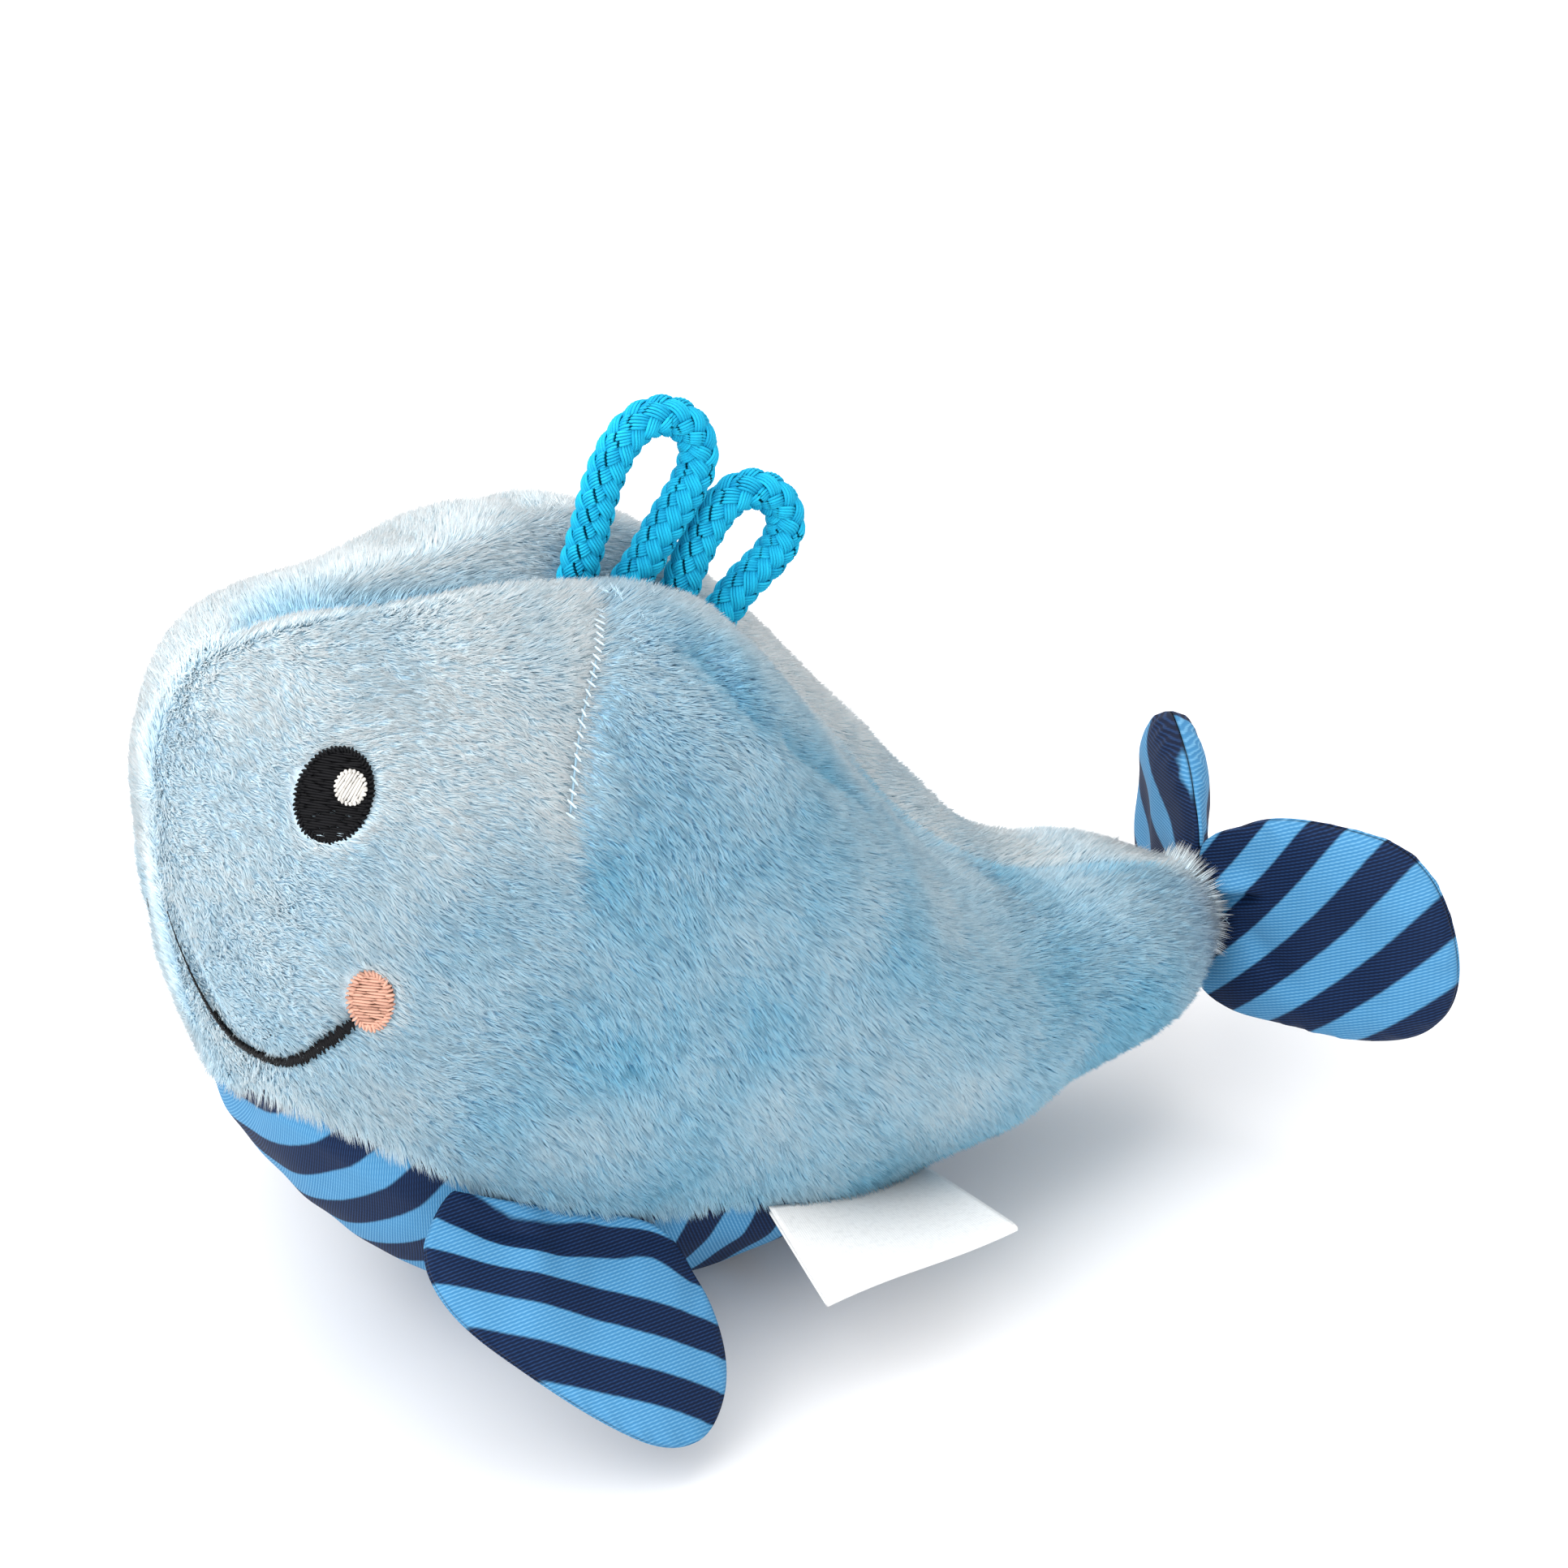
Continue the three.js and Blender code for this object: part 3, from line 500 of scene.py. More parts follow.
def shell(outer: Places, inner: Places, maps: dict[str, Places], wrapped: bool = False) -> Sheet:
    """A closed wall between two grids of points.

    Args:
        outer: Points of the outer face, by row and column.
        inner: Points of the inner face.
        maps: Coordinates by row and column, used on both faces.
        wrapped: Whether the columns close on themselves.

    Returns:
        The wall, with coincident points merged later by the caller if it has poles.
    """
    rows, columns = outer.shape[:2]
    count = rows * columns
    face = grid_faces(rows, columns, wrapped)
    quads = [face, face[:, ::-1] + count]
    rings = [np.arange(columns), (rows - 1) * columns + np.arange(columns)]
    for k, ring in enumerate(rings):
        after = np.roll(ring, -1) if wrapped else ring[1:]
        here = ring if wrapped else ring[:-1]
        rim = np.stack([here, after, after + count, here + count], -1)
        quads.append(rim if k == 0 else rim[:, ::-1])
    if not wrapped:
        for k, line in enumerate([np.arange(rows) * columns, np.arange(rows) * columns + columns - 1]):
            rim = np.stack([line[:-1], line[:-1] + count, line[1:] + count, line[1:]], -1)
            quads.append(rim if k == 0 else rim[:, ::-1])
    points = np.concatenate([outer.reshape(-1, 3), inner.reshape(-1, 3)])
    triangles = outward_faces(points, halved(np.concatenate(quads)))
    both = {key: np.concatenate([value.reshape(-1, 2)] * 2) for key, value in maps.items()}
    return Sheet(points, triangles, None, both)


def tubes(paths: Places, radius: float, sides: int, tone: np.ndarray, height: np.ndarray) -> Sheet:
    """Round strands along paths of equal counts of points, closed at both ends.

    Args:
        paths: Points by strand and step.
        radius: Of every strand.
        sides: Of a strand's section.
        tone: One for each strand.
        height: One for each strand and step.

    Returns:
        All the strands as one sheet, each with its own strip of the map.
    """
    strands, steps = paths.shape[:2]
    along = np.gradient(paths, axis=1)
    along /= np.linalg.norm(along, axis=-1, keepdims=True)
    hint = np.where(np.abs(along[..., :1]) < 0.8, np.array([1.0, 0, 0]), np.array([0, 0, 1.0]))
    first = np.cross(along, hint)
    first /= np.linalg.norm(first, axis=-1, keepdims=True)
    second = np.cross(along, first)
    turn = np.arange(sides) / sides * 2 * math.pi
    spokes = first[:, :, None] * np.cos(turn)[:, None] + second[:, :, None] * np.sin(turn)[:, None]
    points = (paths[:, :, None] + radius * spokes).reshape(-1, 3)
    quads = grid_faces(steps, sides, wrapped=True)
    cap = np.stack([np.zeros(sides - 2, int), np.arange(1, sides - 1), np.arange(2, sides)], -1)
    single = np.concatenate([halved(quads), cap, cap[:, ::-1] + (steps - 1) * sides])
    single = outward_faces(points[: steps * sides], single)
    faces = (single[None] + (np.arange(strands) * steps * sides)[:, None, None]).reshape(-1, 3)
    shape = (strands, steps, sides)
    column = (np.arange(strands)[:, None, None] + (0.1 + 0.8 * turn / (2 * math.pi))) / strands
    row = np.arange(steps)[None, :, None] / (steps - 1)
    bake = np.stack([np.broadcast_to(column, shape), np.broadcast_to(row, shape)], -1).reshape(-1, 2)
    strand = np.stack(np.broadcast_arrays(tone[:, None, None], height[..., None], np.zeros(shape)), -1)
    return Sheet(points, faces, strand.reshape(-1, 3), {"OFBake": bake})


@dataclass(frozen=True)
class Template:
    """A small form that is modelled once and copied many times."""

    points: Places
    faces: np.ndarray

    @staticmethod
    def taken(made: bpy.types.Object) -> "Template":
        """Reads a modelled object's triangles, and removes the object."""
        mesh = made.data
        points = np.array([v.co for v in mesh.vertices], float)
        faces = np.array([p.vertices for p in mesh.polygons], int)
        bpy.data.objects.remove(made)
        return Template(points, outward_faces(points, faces))

    @staticmethod
    def fibre() -> "Template":
        """One tapering bundle of fibres, a unit long and a unit in radius, standing on its root."""
        clear_selection()
        bpy.ops.mesh.primitive_cone_add(
            vertices=3, radius1=1, radius2=0, depth=1, location=(0, 0, 0.5), end_fill_type="NOTHING"
        )
        made = bpy.context.object
        bake_place(made)
        return Template.taken(made)

    @staticmethod
    def stitch() -> "Template":
        """One stitch that lies along x from -0.5 to 0.5, full in the middle and drawn in at its ends."""
        clear_selection()
        bpy.ops.mesh.primitive_cylinder_add(vertices=6, radius=1, depth=1, rotation=(0, math.pi / 2, 0))
        made = bpy.context.object
        bake_place(made)
        bpy.ops.object.mode_set(mode="EDIT")
        bpy.ops.mesh.select_all(action="SELECT")
        for cut in (-0.3, 0.0, 0.3):
            bpy.ops.mesh.select_all(action="SELECT")
            bpy.ops.mesh.bisect(plane_co=(cut, 0, 0), plane_no=(1, 0, 0))
        bpy.ops.mesh.select_all(action="SELECT")
        bpy.ops.mesh.quads_convert_to_tris()
        bpy.ops.object.mode_set(mode="OBJECT")
        for vertex in made.data.vertices:
            x = abs(vertex.co.x)
            drawn = 1.0 if x < 0.1 else (0.92 if x < 0.4 else 0.45)
            vertex.co.y *= drawn
            vertex.co.z *= drawn
        return Template.taken(made)

    def copied(
        self, centres: Places, axes: Places, tone: np.ndarray, height: np.ndarray, pale: Any = 0.0
    ) -> Sheet:
        """Many copies as one sheet.

        Args:
            centres: Where each copy's origin goes.
            axes: What each copy's x, y and z become, with their lengths.
            tone: One for each copy.
            height: One for each point of a copy.
            pale: How pale each copy is, its painted light and shade; one for each copy.

        Returns:
            The copies, each with its own cell of the map.
        """
        count, corners = len(centres), len(self.points)
        points = centres[:, None] + np.einsum("pk,nkj->npj", self.points, axes)
        faces = (self.faces[None] + (np.arange(count) * corners)[:, None, None]).reshape(-1, 3)
        wide = math.ceil(math.sqrt(count))
        cell = np.stack([np.arange(count) % wide, np.arange(count) // wide], -1)
        low, high = self.points.min(0), self.points.max(0)
        share = (self.points - low) / np.maximum(high - low, 1e-9)
        long = 0 if share[:, 0].std() > share[:, 2].std() + 1e-6 else 2
        inside = 0.15 + 0.7 * np.stack([share[:, 1], share[:, long]], -1)
        bake = (cell[:, None] + inside) / wide
        pale = np.broadcast_to(pale, tone.shape)[:, None]
        strand = np.stack(np.broadcast_arrays(tone[:, None], height[None], pale), -1)
        return Sheet(points.reshape(-1, 3), faces, strand.reshape(-1, 3), {"OFBake": bake.reshape(-1, 2)})


def clear_selection() -> None:
    """Leaves nothing selected, so that an operator acts only on what is added next."""
    if bpy.context.object and bpy.context.object.mode != "OBJECT":
        bpy.ops.object.mode_set(mode="OBJECT")
    bpy.ops.object.select_all(action="DESELECT")


def take_up(made: bpy.types.Object) -> None:
    """Selects one object alone and makes it the active one."""
    clear_selection()
    made.select_set(True)
    bpy.context.view_layer.objects.active = made


def bake_place(made: bpy.types.Object) -> None:
    """Puts an object's place, turn and scale into its mesh."""
    take_up(made)
    bpy.ops.object.transform_apply(location=True, rotation=True, scale=True)


@dataclass(frozen=True)
class Ripple:
    """A smooth, seeded wobble over space with a spread of about 1."""

    wavelength: float
    seed: int
    waves: int = 16

    def at(self, places: Places) -> np.ndarray:
        """The wobble at each place, in mm."""
        rng = np.random.default_rng(self.seed)
        ways = rng.normal(size=(self.waves, 3))
        ways /= np.linalg.norm(ways, axis=1, keepdims=True)
        ways *= (2 * math.pi / (self.wavelength * rng.uniform(0.7, 1.5, self.waves)))[:, None]
        phases = rng.uniform(0, 2 * math.pi, self.waves)
        total = np.zeros(len(places))
        for way, phase in zip(ways, phases):
            total += np.cos(places @ way + phase)
        return total * math.sqrt(2 / self.waves)


class Curve:
    """A natural cubic spline through values at knots."""

    def __init__(self, knots: Sequence[float], values: Sequence[float]) -> None:
        self.x = np.asarray(knots, float)
        self.y = np.asarray(values, float)
        n, h = len(self.x), np.diff(self.x)
        matrix, right = np.eye(n), np.zeros(n)
        for i in range(1, n - 1):
            matrix[i, i - 1 : i + 2] = h[i - 1], 2 * (h[i - 1] + h[i]), h[i]
            right[i] = 3 * ((self.y[i + 1] - self.y[i]) / h[i] - (self.y[i] - self.y[i - 1]) / h[i - 1])
        self.bend = np.linalg.solve(matrix, right)
        self.slope = np.diff(self.y) / h - h * (2 * self.bend[:-1] + self.bend[1:]) / 3
        self.twist = np.diff(self.bend) / (3 * h)

    def __call__(self, at: np.ndarray) -> np.ndarray:
        i = np.clip(np.searchsorted(self.x, at) - 1, 0, len(self.x) - 2)
        t = at - self.x[i]
        return self.y[i] + t * (self.slope[i] + t * (self.bend[i] + t * self.twist[i]))


def smooth_line(points: Sequence[Sequence[float]], count: int) -> Places:
    """Evenly spaced points on a smooth line through points."""
    p = np.asarray(points, float)
    run = np.r_[0, np.cumsum(np.linalg.norm(np.diff(p, axis=0), axis=1) ** 0.5)]
    curves = [Curve(run, p[:, k]) for k in range(p.shape[1])]
    fine = np.stack([c(np.linspace(0, run[-1], 40 * len(p))) for c in curves], -1)
    length = arc_length(fine)
    even = np.linspace(0, length[-1], count)
    return np.stack([np.interp(even, length, fine[:, k]) for k in range(p.shape[1])], -1)


def arc_length(points: Places, axis: int = 0) -> np.ndarray:
    """How far along each point of a line is, from 0."""
    steps = np.linalg.norm(np.diff(points, axis=axis), axis=-1)
    start = np.zeros_like(np.take(steps, [0], axis=axis))
    return np.concatenate([start, np.cumsum(steps, axis=axis)], axis)


def rounded_step(value: np.ndarray, low: float, high: float) -> np.ndarray:
    """0 below low, 1 above high, and smooth between them."""
    t = np.clip((value - low) / (high - low), 0, 1)
    return t * t * (3 - 2 * t)


def unit(vectors: Places) -> Places:
    """The vectors at length 1."""
    return vectors / np.maximum(np.linalg.norm(vectors, axis=-1, keepdims=True), 1e-9)


def distance_to(places: Places, line: Places) -> np.ndarray:
    """How far each place is from the nearest point of a finely drawn line."""
    nearest = np.full(len(places), np.inf)
    for point in line:
        nearest = np.minimum(nearest, ((places - point) ** 2).sum(-1))
    return np.sqrt(nearest)


# The stuffed body's form


@dataclass(frozen=True)
class Station:
    """One section of the body: its ridge and keel in the middle plane, its half width, how full its upper
    and lower halves are, and how deep the seam between the two sides is sunk there."""

    at: float
    ridge: tuple[float, float]
    keel: tuple[float, float]
    half: float
    upper: float
    lower: float
    valley: float


STATIONS = (
    Station(0.0, (-62.2, 78.0), (-62.2, 78.0), 0.0, 2.2, 1.9, 0.0),
    Station(0.03, (-62.2, 83.5), (-62.6, 72.0), 5.0, 2.2, 1.9, 0.6),
    Station(0.08, (-60.0, 89.3), (-62.3, 62.0), 10.2, 2.2, 1.9, 1.0),
    Station(0.15, (-55.0, 94.8), (-60.4, 49.0), 18.4, 2.2, 1.9, 1.4),
    Station(0.22, (-46.0, 98.6), (-55.8, 34.5), 27.8, 2.3, 1.9, 1.8),
    Station(0.3, (-34.0, 99.9), (-46.0, 19.0), 35.0, 2.6, 1.9, 2.8),
    Station(0.4, (-19.0, 100.0), (-30.0, 5.9), 38.3, 2.9, 1.95, 4.0),
    Station(0.5, (-3.0, 97.2), (-11.0, 1.4), 38.2, 3.0, 2.0, 4.7),
    Station(0.6, (13.0, 87.5), (7.0, 2.2), 36.7, 3.0, 1.95, 4.8),
    Station(0.7, (28.0, 68.8), (24.0, 6.6), 33.3, 2.8, 1.85, 4.4),
    Station(0.8, (41.5, 52.5), (40.5, 10.6), 28.0, 2.4, 1.8, 2.8),
    Station(0.9, (56.5, 43.7), (57.5, 14.8), 20.5, 2.2, 1.85, 1.4),
    Station(0.965, (70.5, 42.0), (71.5, 19.8), 15.0, 2.2, 1.9, 1.0),
    Station(1.0, (77.4, 38.7), (77.8, 25.3), 6.8, 2.2, 1.9, 0.6),
)


@dataclass(frozen=True)
class Oval:
    """An embroidered oval: its centre on the body, its half height and half width, and its lean."""

    at: float
    turn: float
    long: float
    short: float
    lean: float


EYE = Oval(0.2225, 56.3 * DEG, 5.55, 4.4, -17 * DEG)
SHINE = Oval(0.2348, 54.2 * DEG, 2.0, 1.85, 0.0)
CHEEK = Oval(0.2508, 91.2 * DEG, 3.7, 2.65, -5 * DEG)
MOUTH = (
    (0.074, 151), (0.1, 147), (0.125, 144.5), (0.148, 142), (0.168, 138), (0.185, 131.5), (0.203, 123.8),
    (0.22, 113), (0.232, 104.3), (0.242, 98.2),
)
DART = ((0.452, 12), (0.435, 23), (0.418, 33), (0.405, 41), (0.395, 49), (0.386, 60))
DENT = ((0.51, 22), (0.519, 27), (0.53, 33), (0.552, 37), (0.58, 36), (0.609, 31), (0.635, 26))


@dataclass(frozen=True)
class BodyForm:
    """The outer face of the pile, given by a station from nose (0) to tail (1) and an angle round from the
    ridge (0) to the keel (pi), positive on the left and negative on the right. All in mm."""

    valley_width: float = 6.0
    lobe_edge: float = 7.5  # from the seam to where the left lobe has its full settling or rise
    belly_front: float = 0.191
    belly_widest: float = 0.45
    belly_back: float = 0.84
    belly_spread: float = 61 * DEG
    settled: tuple = (  # station, and how far the left lobe has settled and the right one stands up there
        (0.36, 0.0, 0.0), (0.44, 0.0, 2.0), (0.5, 0.0, 2.6), (0.54, 0.0, 2.2), (0.58, 2.4, 1.2),
        (0.62, 5.8, 0.8), (0.66, 7.0, 1.0), (0.7, 7.0, 2.0), (0.75, 5.8, 3.4), (0.8, 3.6, 2.6),
        (0.85, 1.2, 0.8), (0.9, 0.2, 0.0), (0.95, 0.0, 0.0),
    )
    crest: tuple = (  # station, and how far the left lobe rises beside the seam there
        (0.05, 0.0), (0.1, 1.0), (0.15, 2.0), (0.22, 2.4), (0.3, 2.2), (0.36, 1.8), (0.42, 0.4), (0.46, 0.0),
    )
    end: float = 1.03  # past 1, the tail's closed end runs to its middle
    end_bulge: float = 0.8
    step: float = 0.004

    def __post_init__(self) -> None:
        at = [s.at for s in STATIONS]
        curves = {
            "ridge_x": [s.ridge[0] for s in STATIONS],
            "ridge_z": [s.ridge[1] for s in STATIONS],
            "keel_x": [s.keel[0] for s in STATIONS],
            "keel_z": [s.keel[1] for s in STATIONS],
            "half": [s.half for s in STATIONS],
            "upper": [s.upper for s in STATIONS],
            "lower": [s.lower for s in STATIONS],
            "valley": [s.valley for s in STATIONS],
        }
        object.__setattr__(self, "curves", {key: Curve(at, values) for key, values in curves.items()})

    def skin(self, at: Any, turn: Any) -> Places:
        """Points of the outer face."""
        at, turn = np.broadcast_arrays(np.asarray(at, float), np.asarray(turn, float))
        closing = np.clip((at - 1) / (self.end - 1), 0, 1)
        at = np.minimum(at, 1)
        value = {key: curve(at) for key, curve in self.curves.items()}
        c, s = np.cos(turn), np.sin(turn)
        full = np.where(c > 0, value["upper"], value["lower"])
        across = value["half"] * np.sign(s) * np.abs(s) ** (2 / full)
        down = (1 - np.sign(c) * np.abs(c) ** (2 / full)) / 2
        up_x, up_z = value["ridge_x"] - value["keel_x"], value["ridge_z"] - value["keel_z"]
        tall = np.maximum(np.hypot(up_x, up_z), 1e-6)
        sink = np.where(c > 0, value["valley"] * np.exp(-((across / self.valley_width) ** 2)), 0)
        sink = sink * rounded_step(at, 0.1, 0.24)
        rise = np.interp(at, *np.array(self.crest).T) * rounded_step(across, 0, self.lobe_edge)
        rise = rise * rounded_step(c, 0.55, 0.95)
        knots, near, far = np.array(self.settled).T
        settle = np.interp(at, knots, near) * rounded_step(across, 0, self.lobe_edge)
        settle -= np.interp(at, knots, far) * rounded_step(-across, 0, 9)
        lower = sink - rise + settle * (c > 0) * np.abs(c) ** 0.6
        x = value["ridge_x"] - up_x * down - up_x / tall * lower
        z = value["ridge_z"] - up_z * down - up_z / tall * lower
        x = x + self.end_bulge * (1 - (1 - closing) ** 2)
        z = z + ((STATIONS[-1].ridge[1] + STATIONS[-1].keel[1]) / 2 - z) * closing
        return np.stack([x, -across * (1 - closing), z], -1) + ORIGIN

    def outward(self, at: Any, turn: Any) -> Places:
        """The face's outward directions."""
        at, turn = np.broadcast_arrays(np.asarray(at, float), np.asarray(turn, float))
        h = self.step
        along = self.skin(np.minimum(at + h, self.end), turn) - self.skin(np.maximum(at - h, 0), turn)
        across = self.skin(at, turn + 2 * h) - self.skin(at, turn - 2 * h)
        normal = np.cross(across, along)
        size = np.linalg.norm(normal, axis=-1, keepdims=True)
        normal = np.where(size > 1e-4, normal / np.maximum(size, 1e-9), np.array([-1.0, 0, 0]))
        return np.where((at[..., None] < 0.06) & (normal[..., :1] > 0), -normal, normal)

    def under(self, at: Any, turn: Any, depth: Any) -> Places:
        """Points so far below the outer face."""
        depth = np.asarray(depth, float)[..., None]
        return self.skin(at, turn) - self.outward(at, turn) * depth

    def belly_seam(self, at: Any) -> np.ndarray:
        """The angle at which the belly panel's edge runs."""
        at = np.asarray(at, float)
        front = np.clip((self.belly_widest - at) / (self.belly_widest - self.belly_front), 0, 1)
        back = np.clip((at - self.belly_widest) / (self.belly_back - self.belly_widest), 0, 1)
        share = np.where(at < self.belly_widest, (1 - front**4) ** 0.25, (1 - back**2) ** 0.7)
        return math.pi - self.belly_spread * share

    def nearest(self, points: Places, at: float, turn: float) -> tuple[np.ndarray, np.ndarray]:
        """Where points near the face are on it, as stations and angles."""
        s, t = np.full(len(points), at), np.full(len(points), turn)
        h = 0.002
        for _ in range(12):
            place = self.skin(s, t)
            along = (self.skin(s + h, t) - place) / h
            across = (self.skin(s, t + h) - place) / h
            off = points - place
            s = s + (off * along).sum(-1) / (along * along).sum(-1)
            t = t + (off * across).sum(-1) / (across * across).sum(-1)
        return s, t

    def oval_axes(self, oval: Oval) -> tuple[Places, Places, Places]:
        """The upward and sideways directions of an oval on the left side, and its centre."""
        centre = self.skin(oval.at, oval.turn)
        normal = self.outward(oval.at, oval.turn)
        up = unit(np.array([0, 0, 1.0]) - normal * normal[2])
        up = up * math.cos(oval.lean) + np.cross(normal, up) * math.sin(oval.lean)
        return up, np.cross(up, normal), centre


BODY = BodyForm()


@dataclass(frozen=True)
class Dressing:
    """What sewing does to the body's face: creases along stitched lines and soft lumps of stuffing."""

    backing: float = 1.8  # the knit's depth under the tips of the pile
    dart_depth: float = 1.4
    dart_width: float = 2.6
    dent_depth: float = 2.2
    dent_width: float = 2.8
    seam_depth: float = 0.9
    seam_width: float = 1.0
    mouth_depth: float = 0.7
    mouth_width: float = 1.8
    lump: float = 0.35
    lump_size: float = 26.0
    brow: float = 0.9  # how far the face stands out, where the pile lies flattest

    def sunk(self, at: np.ndarray, turn: np.ndarray, places: Places) -> np.ndarray:
        """How far each place of the outer face is drawn in."""
        left = places.copy()
        left[:, 1] = -np.abs(left[:, 1])
        dart = distance_to(left, LINES["dart"])
        mouth = distance_to(left, LINES["mouth"])
        depth = self.dart_depth * np.exp(-((dart / self.dart_width) ** 2))
        depth += self.mouth_depth * np.exp(-((mouth / self.mouth_width) ** 2))
        depth += self.dent_depth * np.exp(-((distance_to(left, LINES["dent"]) / self.dent_width) ** 2))
        ridge = (np.cos(turn) > 0.5) * rounded_step(at, 0.15, 0.24) * (1 - rounded_step(at, 0.95, 0.99))
        depth += self.seam_depth * ridge * np.exp(-((places[:, 1] / self.seam_width) ** 2))
        depth -= self.brow * (1 - rounded_step(at, 0.12, 0.32))
        return depth + self.lump * Ripple(self.lump_size, 5).at(places)

    def face(self, at: np.ndarray, turn: np.ndarray, depth: Any) -> tuple[Places, Places]:
        """Points of the sewn body so far below its outer face, and the outward directions there."""
        places = BODY.skin(at, turn)
        normal = BODY.outward(at, turn)
        sunk = self.sunk(at, turn, places) + depth
        return places - normal * sunk[:, None], normal


LINES = {
    "mouth": BODY.skin(*np.array([(a, t * DEG) for a, t in smooth_line(MOUTH, 80)]).T),
    "dart": BODY.skin(*np.array([(a, t * DEG) for a, t in smooth_line(DART, 80)]).T),
    "dent": BODY.skin(*np.array([(a, t * DEG) for a, t in smooth_line(DENT, 40)]).T),
}
DRESSING = Dressing()


# Cords of the spout

FRONT_LOOP = (
    (-8.4, 95.8), (-8.0, 97.4), (-6.8, 101.0), (-5.6, 105.0), (-3.6, 109.5), (-0.7, 112.6), (2.6, 113.2),
    (5.5, 111.6), (6.9, 108.6), (6.3, 105.2), (4.2, 101.8), (1.4, 97.8), (-0.1, 95.5), (-0.9, 94.5),
)
REAR_LOOP = (
    (4.5, 91.4), (5.5, 93.8), (6.7, 96.2), (8.2, 98.6), (10.2, 100.9), (13.0, 102.1), (16.0, 101.1),
    (18.0, 98.4), (17.8, 95.2), (15.6, 92.4), (12.6, 90.0), (10.4, 87.6),
)


@dataclass
class BraidedLoop:
    """A loop of round braided cord, both its ends sewn into the back seam."""

    name: str
    node: str
    body: str
    route: tuple
    diameter: float = 4.8
    carriers: int = 6  # yarns each way round
    pitch: float = 13.7  # of one yarn's turn
    core: float = 1.45
    middle: float = 1.72  # radius at which the yarns cross
    wave: float = 0.45  # how far a yarn rises over the others
    plies: int = 5
    ply_gap: float = 0.3
    ply: float = 0.2
    tuck: float = 2.6  # how far each end runs on into the seam
    step: float = 0.3

    def centreline(self, count: int) -> Places:
        """The cord's middle line, in mm in the frame."""
        flat = smooth_line(self.route, count)
        return np.stack([flat[:, 0], np.zeros(count), flat[:, 1]], -1) + ORIGIN

    def length(self) -> float:
        """Along the middle line, in mm, with what is tucked in."""
        line = self.tucked(200)
        return float(np.linalg.norm(np.diff(line, axis=0), axis=1).sum())

    def tucked(self, count: int) -> Places:
        """The middle line with its ends run on into the seam."""
        line = self.centreline(60)
        first, last = unit(line[0] - line[2]), unit(line[-1] - line[-3])
        flat = np.concatenate([[line[0] + first * self.tuck], line, [line[-1] + last * self.tuck]])
        return smooth_line(flat, count)

    def yarns(self, steps: int) -> tuple[Places, np.ndarray, np.ndarray]:
        """The plies' paths, their tones, and how high each step lies in the braid."""
        line = self.tucked(steps)
        run = np.linspace(0, self.length(), steps)
        along = unit(np.gradient(line, axis=0))
        side = np.array([0.0, 1.0, 0.0])
        rise = np.cross(along, side)
        rng = np.random.default_rng(7)
        paths, tones, heights = [], [], []
        slant = math.atan2(2 * math.pi * self.middle, self.pitch)
        for way in (1, -1):
            for carrier in range(self.carriers):
                tone = rng.uniform(0.25, 0.75)
                for ply in range(self.plies):
                    off = (ply - (self.plies - 1) / 2) * self.ply_gap
                    turned = off * math.cos(slant) / self.middle
                    moved = -way * off * math.sin(slant)
                    turn = 2 * math.pi * (carrier / self.carriers + way * (run - moved) / self.pitch) + turned
                    phase = 2 * carrier + way * 2 * self.carriers * (run - moved) / self.pitch
                    lift = way * np.cos(math.pi / 2 * (phase - 0.5))
                    crown = 0.16 * (1 - (2 * off / (self.plies * self.ply_gap)) ** 2)
                    radius = self.middle + self.wave * lift + crown
                    spoke = side * np.cos(turn)[:, None] + rise * np.sin(turn)[:, None]
                    paths.append(line + spoke * radius[:, None])
                    tones.append(tone + rng.uniform(-0.2, 0.2))
                    # A yarn gets less height where it passes under the others, which the finish paints
                    # darker: painted shade in the braid's gaps.
                    heights.append((lift + 1) / 2)
        return np.array(paths), np.array(tones), np.array(heights)

    def build(self, material: bpy.types.Material) -> bpy.types.Object:
        """Makes the cord."""
        steps = int(self.length() / self.step)
        paths, tones, heights = self.yarns(steps)
        yarn = tubes(paths, self.ply, 5, tones, heights)
        line = self.tucked(steps)
        # The core, at tone and height 0, takes the thread's darkest colour: painted shade deep inside the
        # braid.
        core = tubes(line[None], self.core, 10, np.array([0.0]), np.zeros((1, steps)))
        made = Sheet.joined([yarn, core]).piece(self.name, material)
        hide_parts(self.node)
        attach(made, self.body)
        route = [tuple(p * MM) for p in self.tucked(len(self.route) + 6)]
        self.length() * MM
        return made


# Plush sides


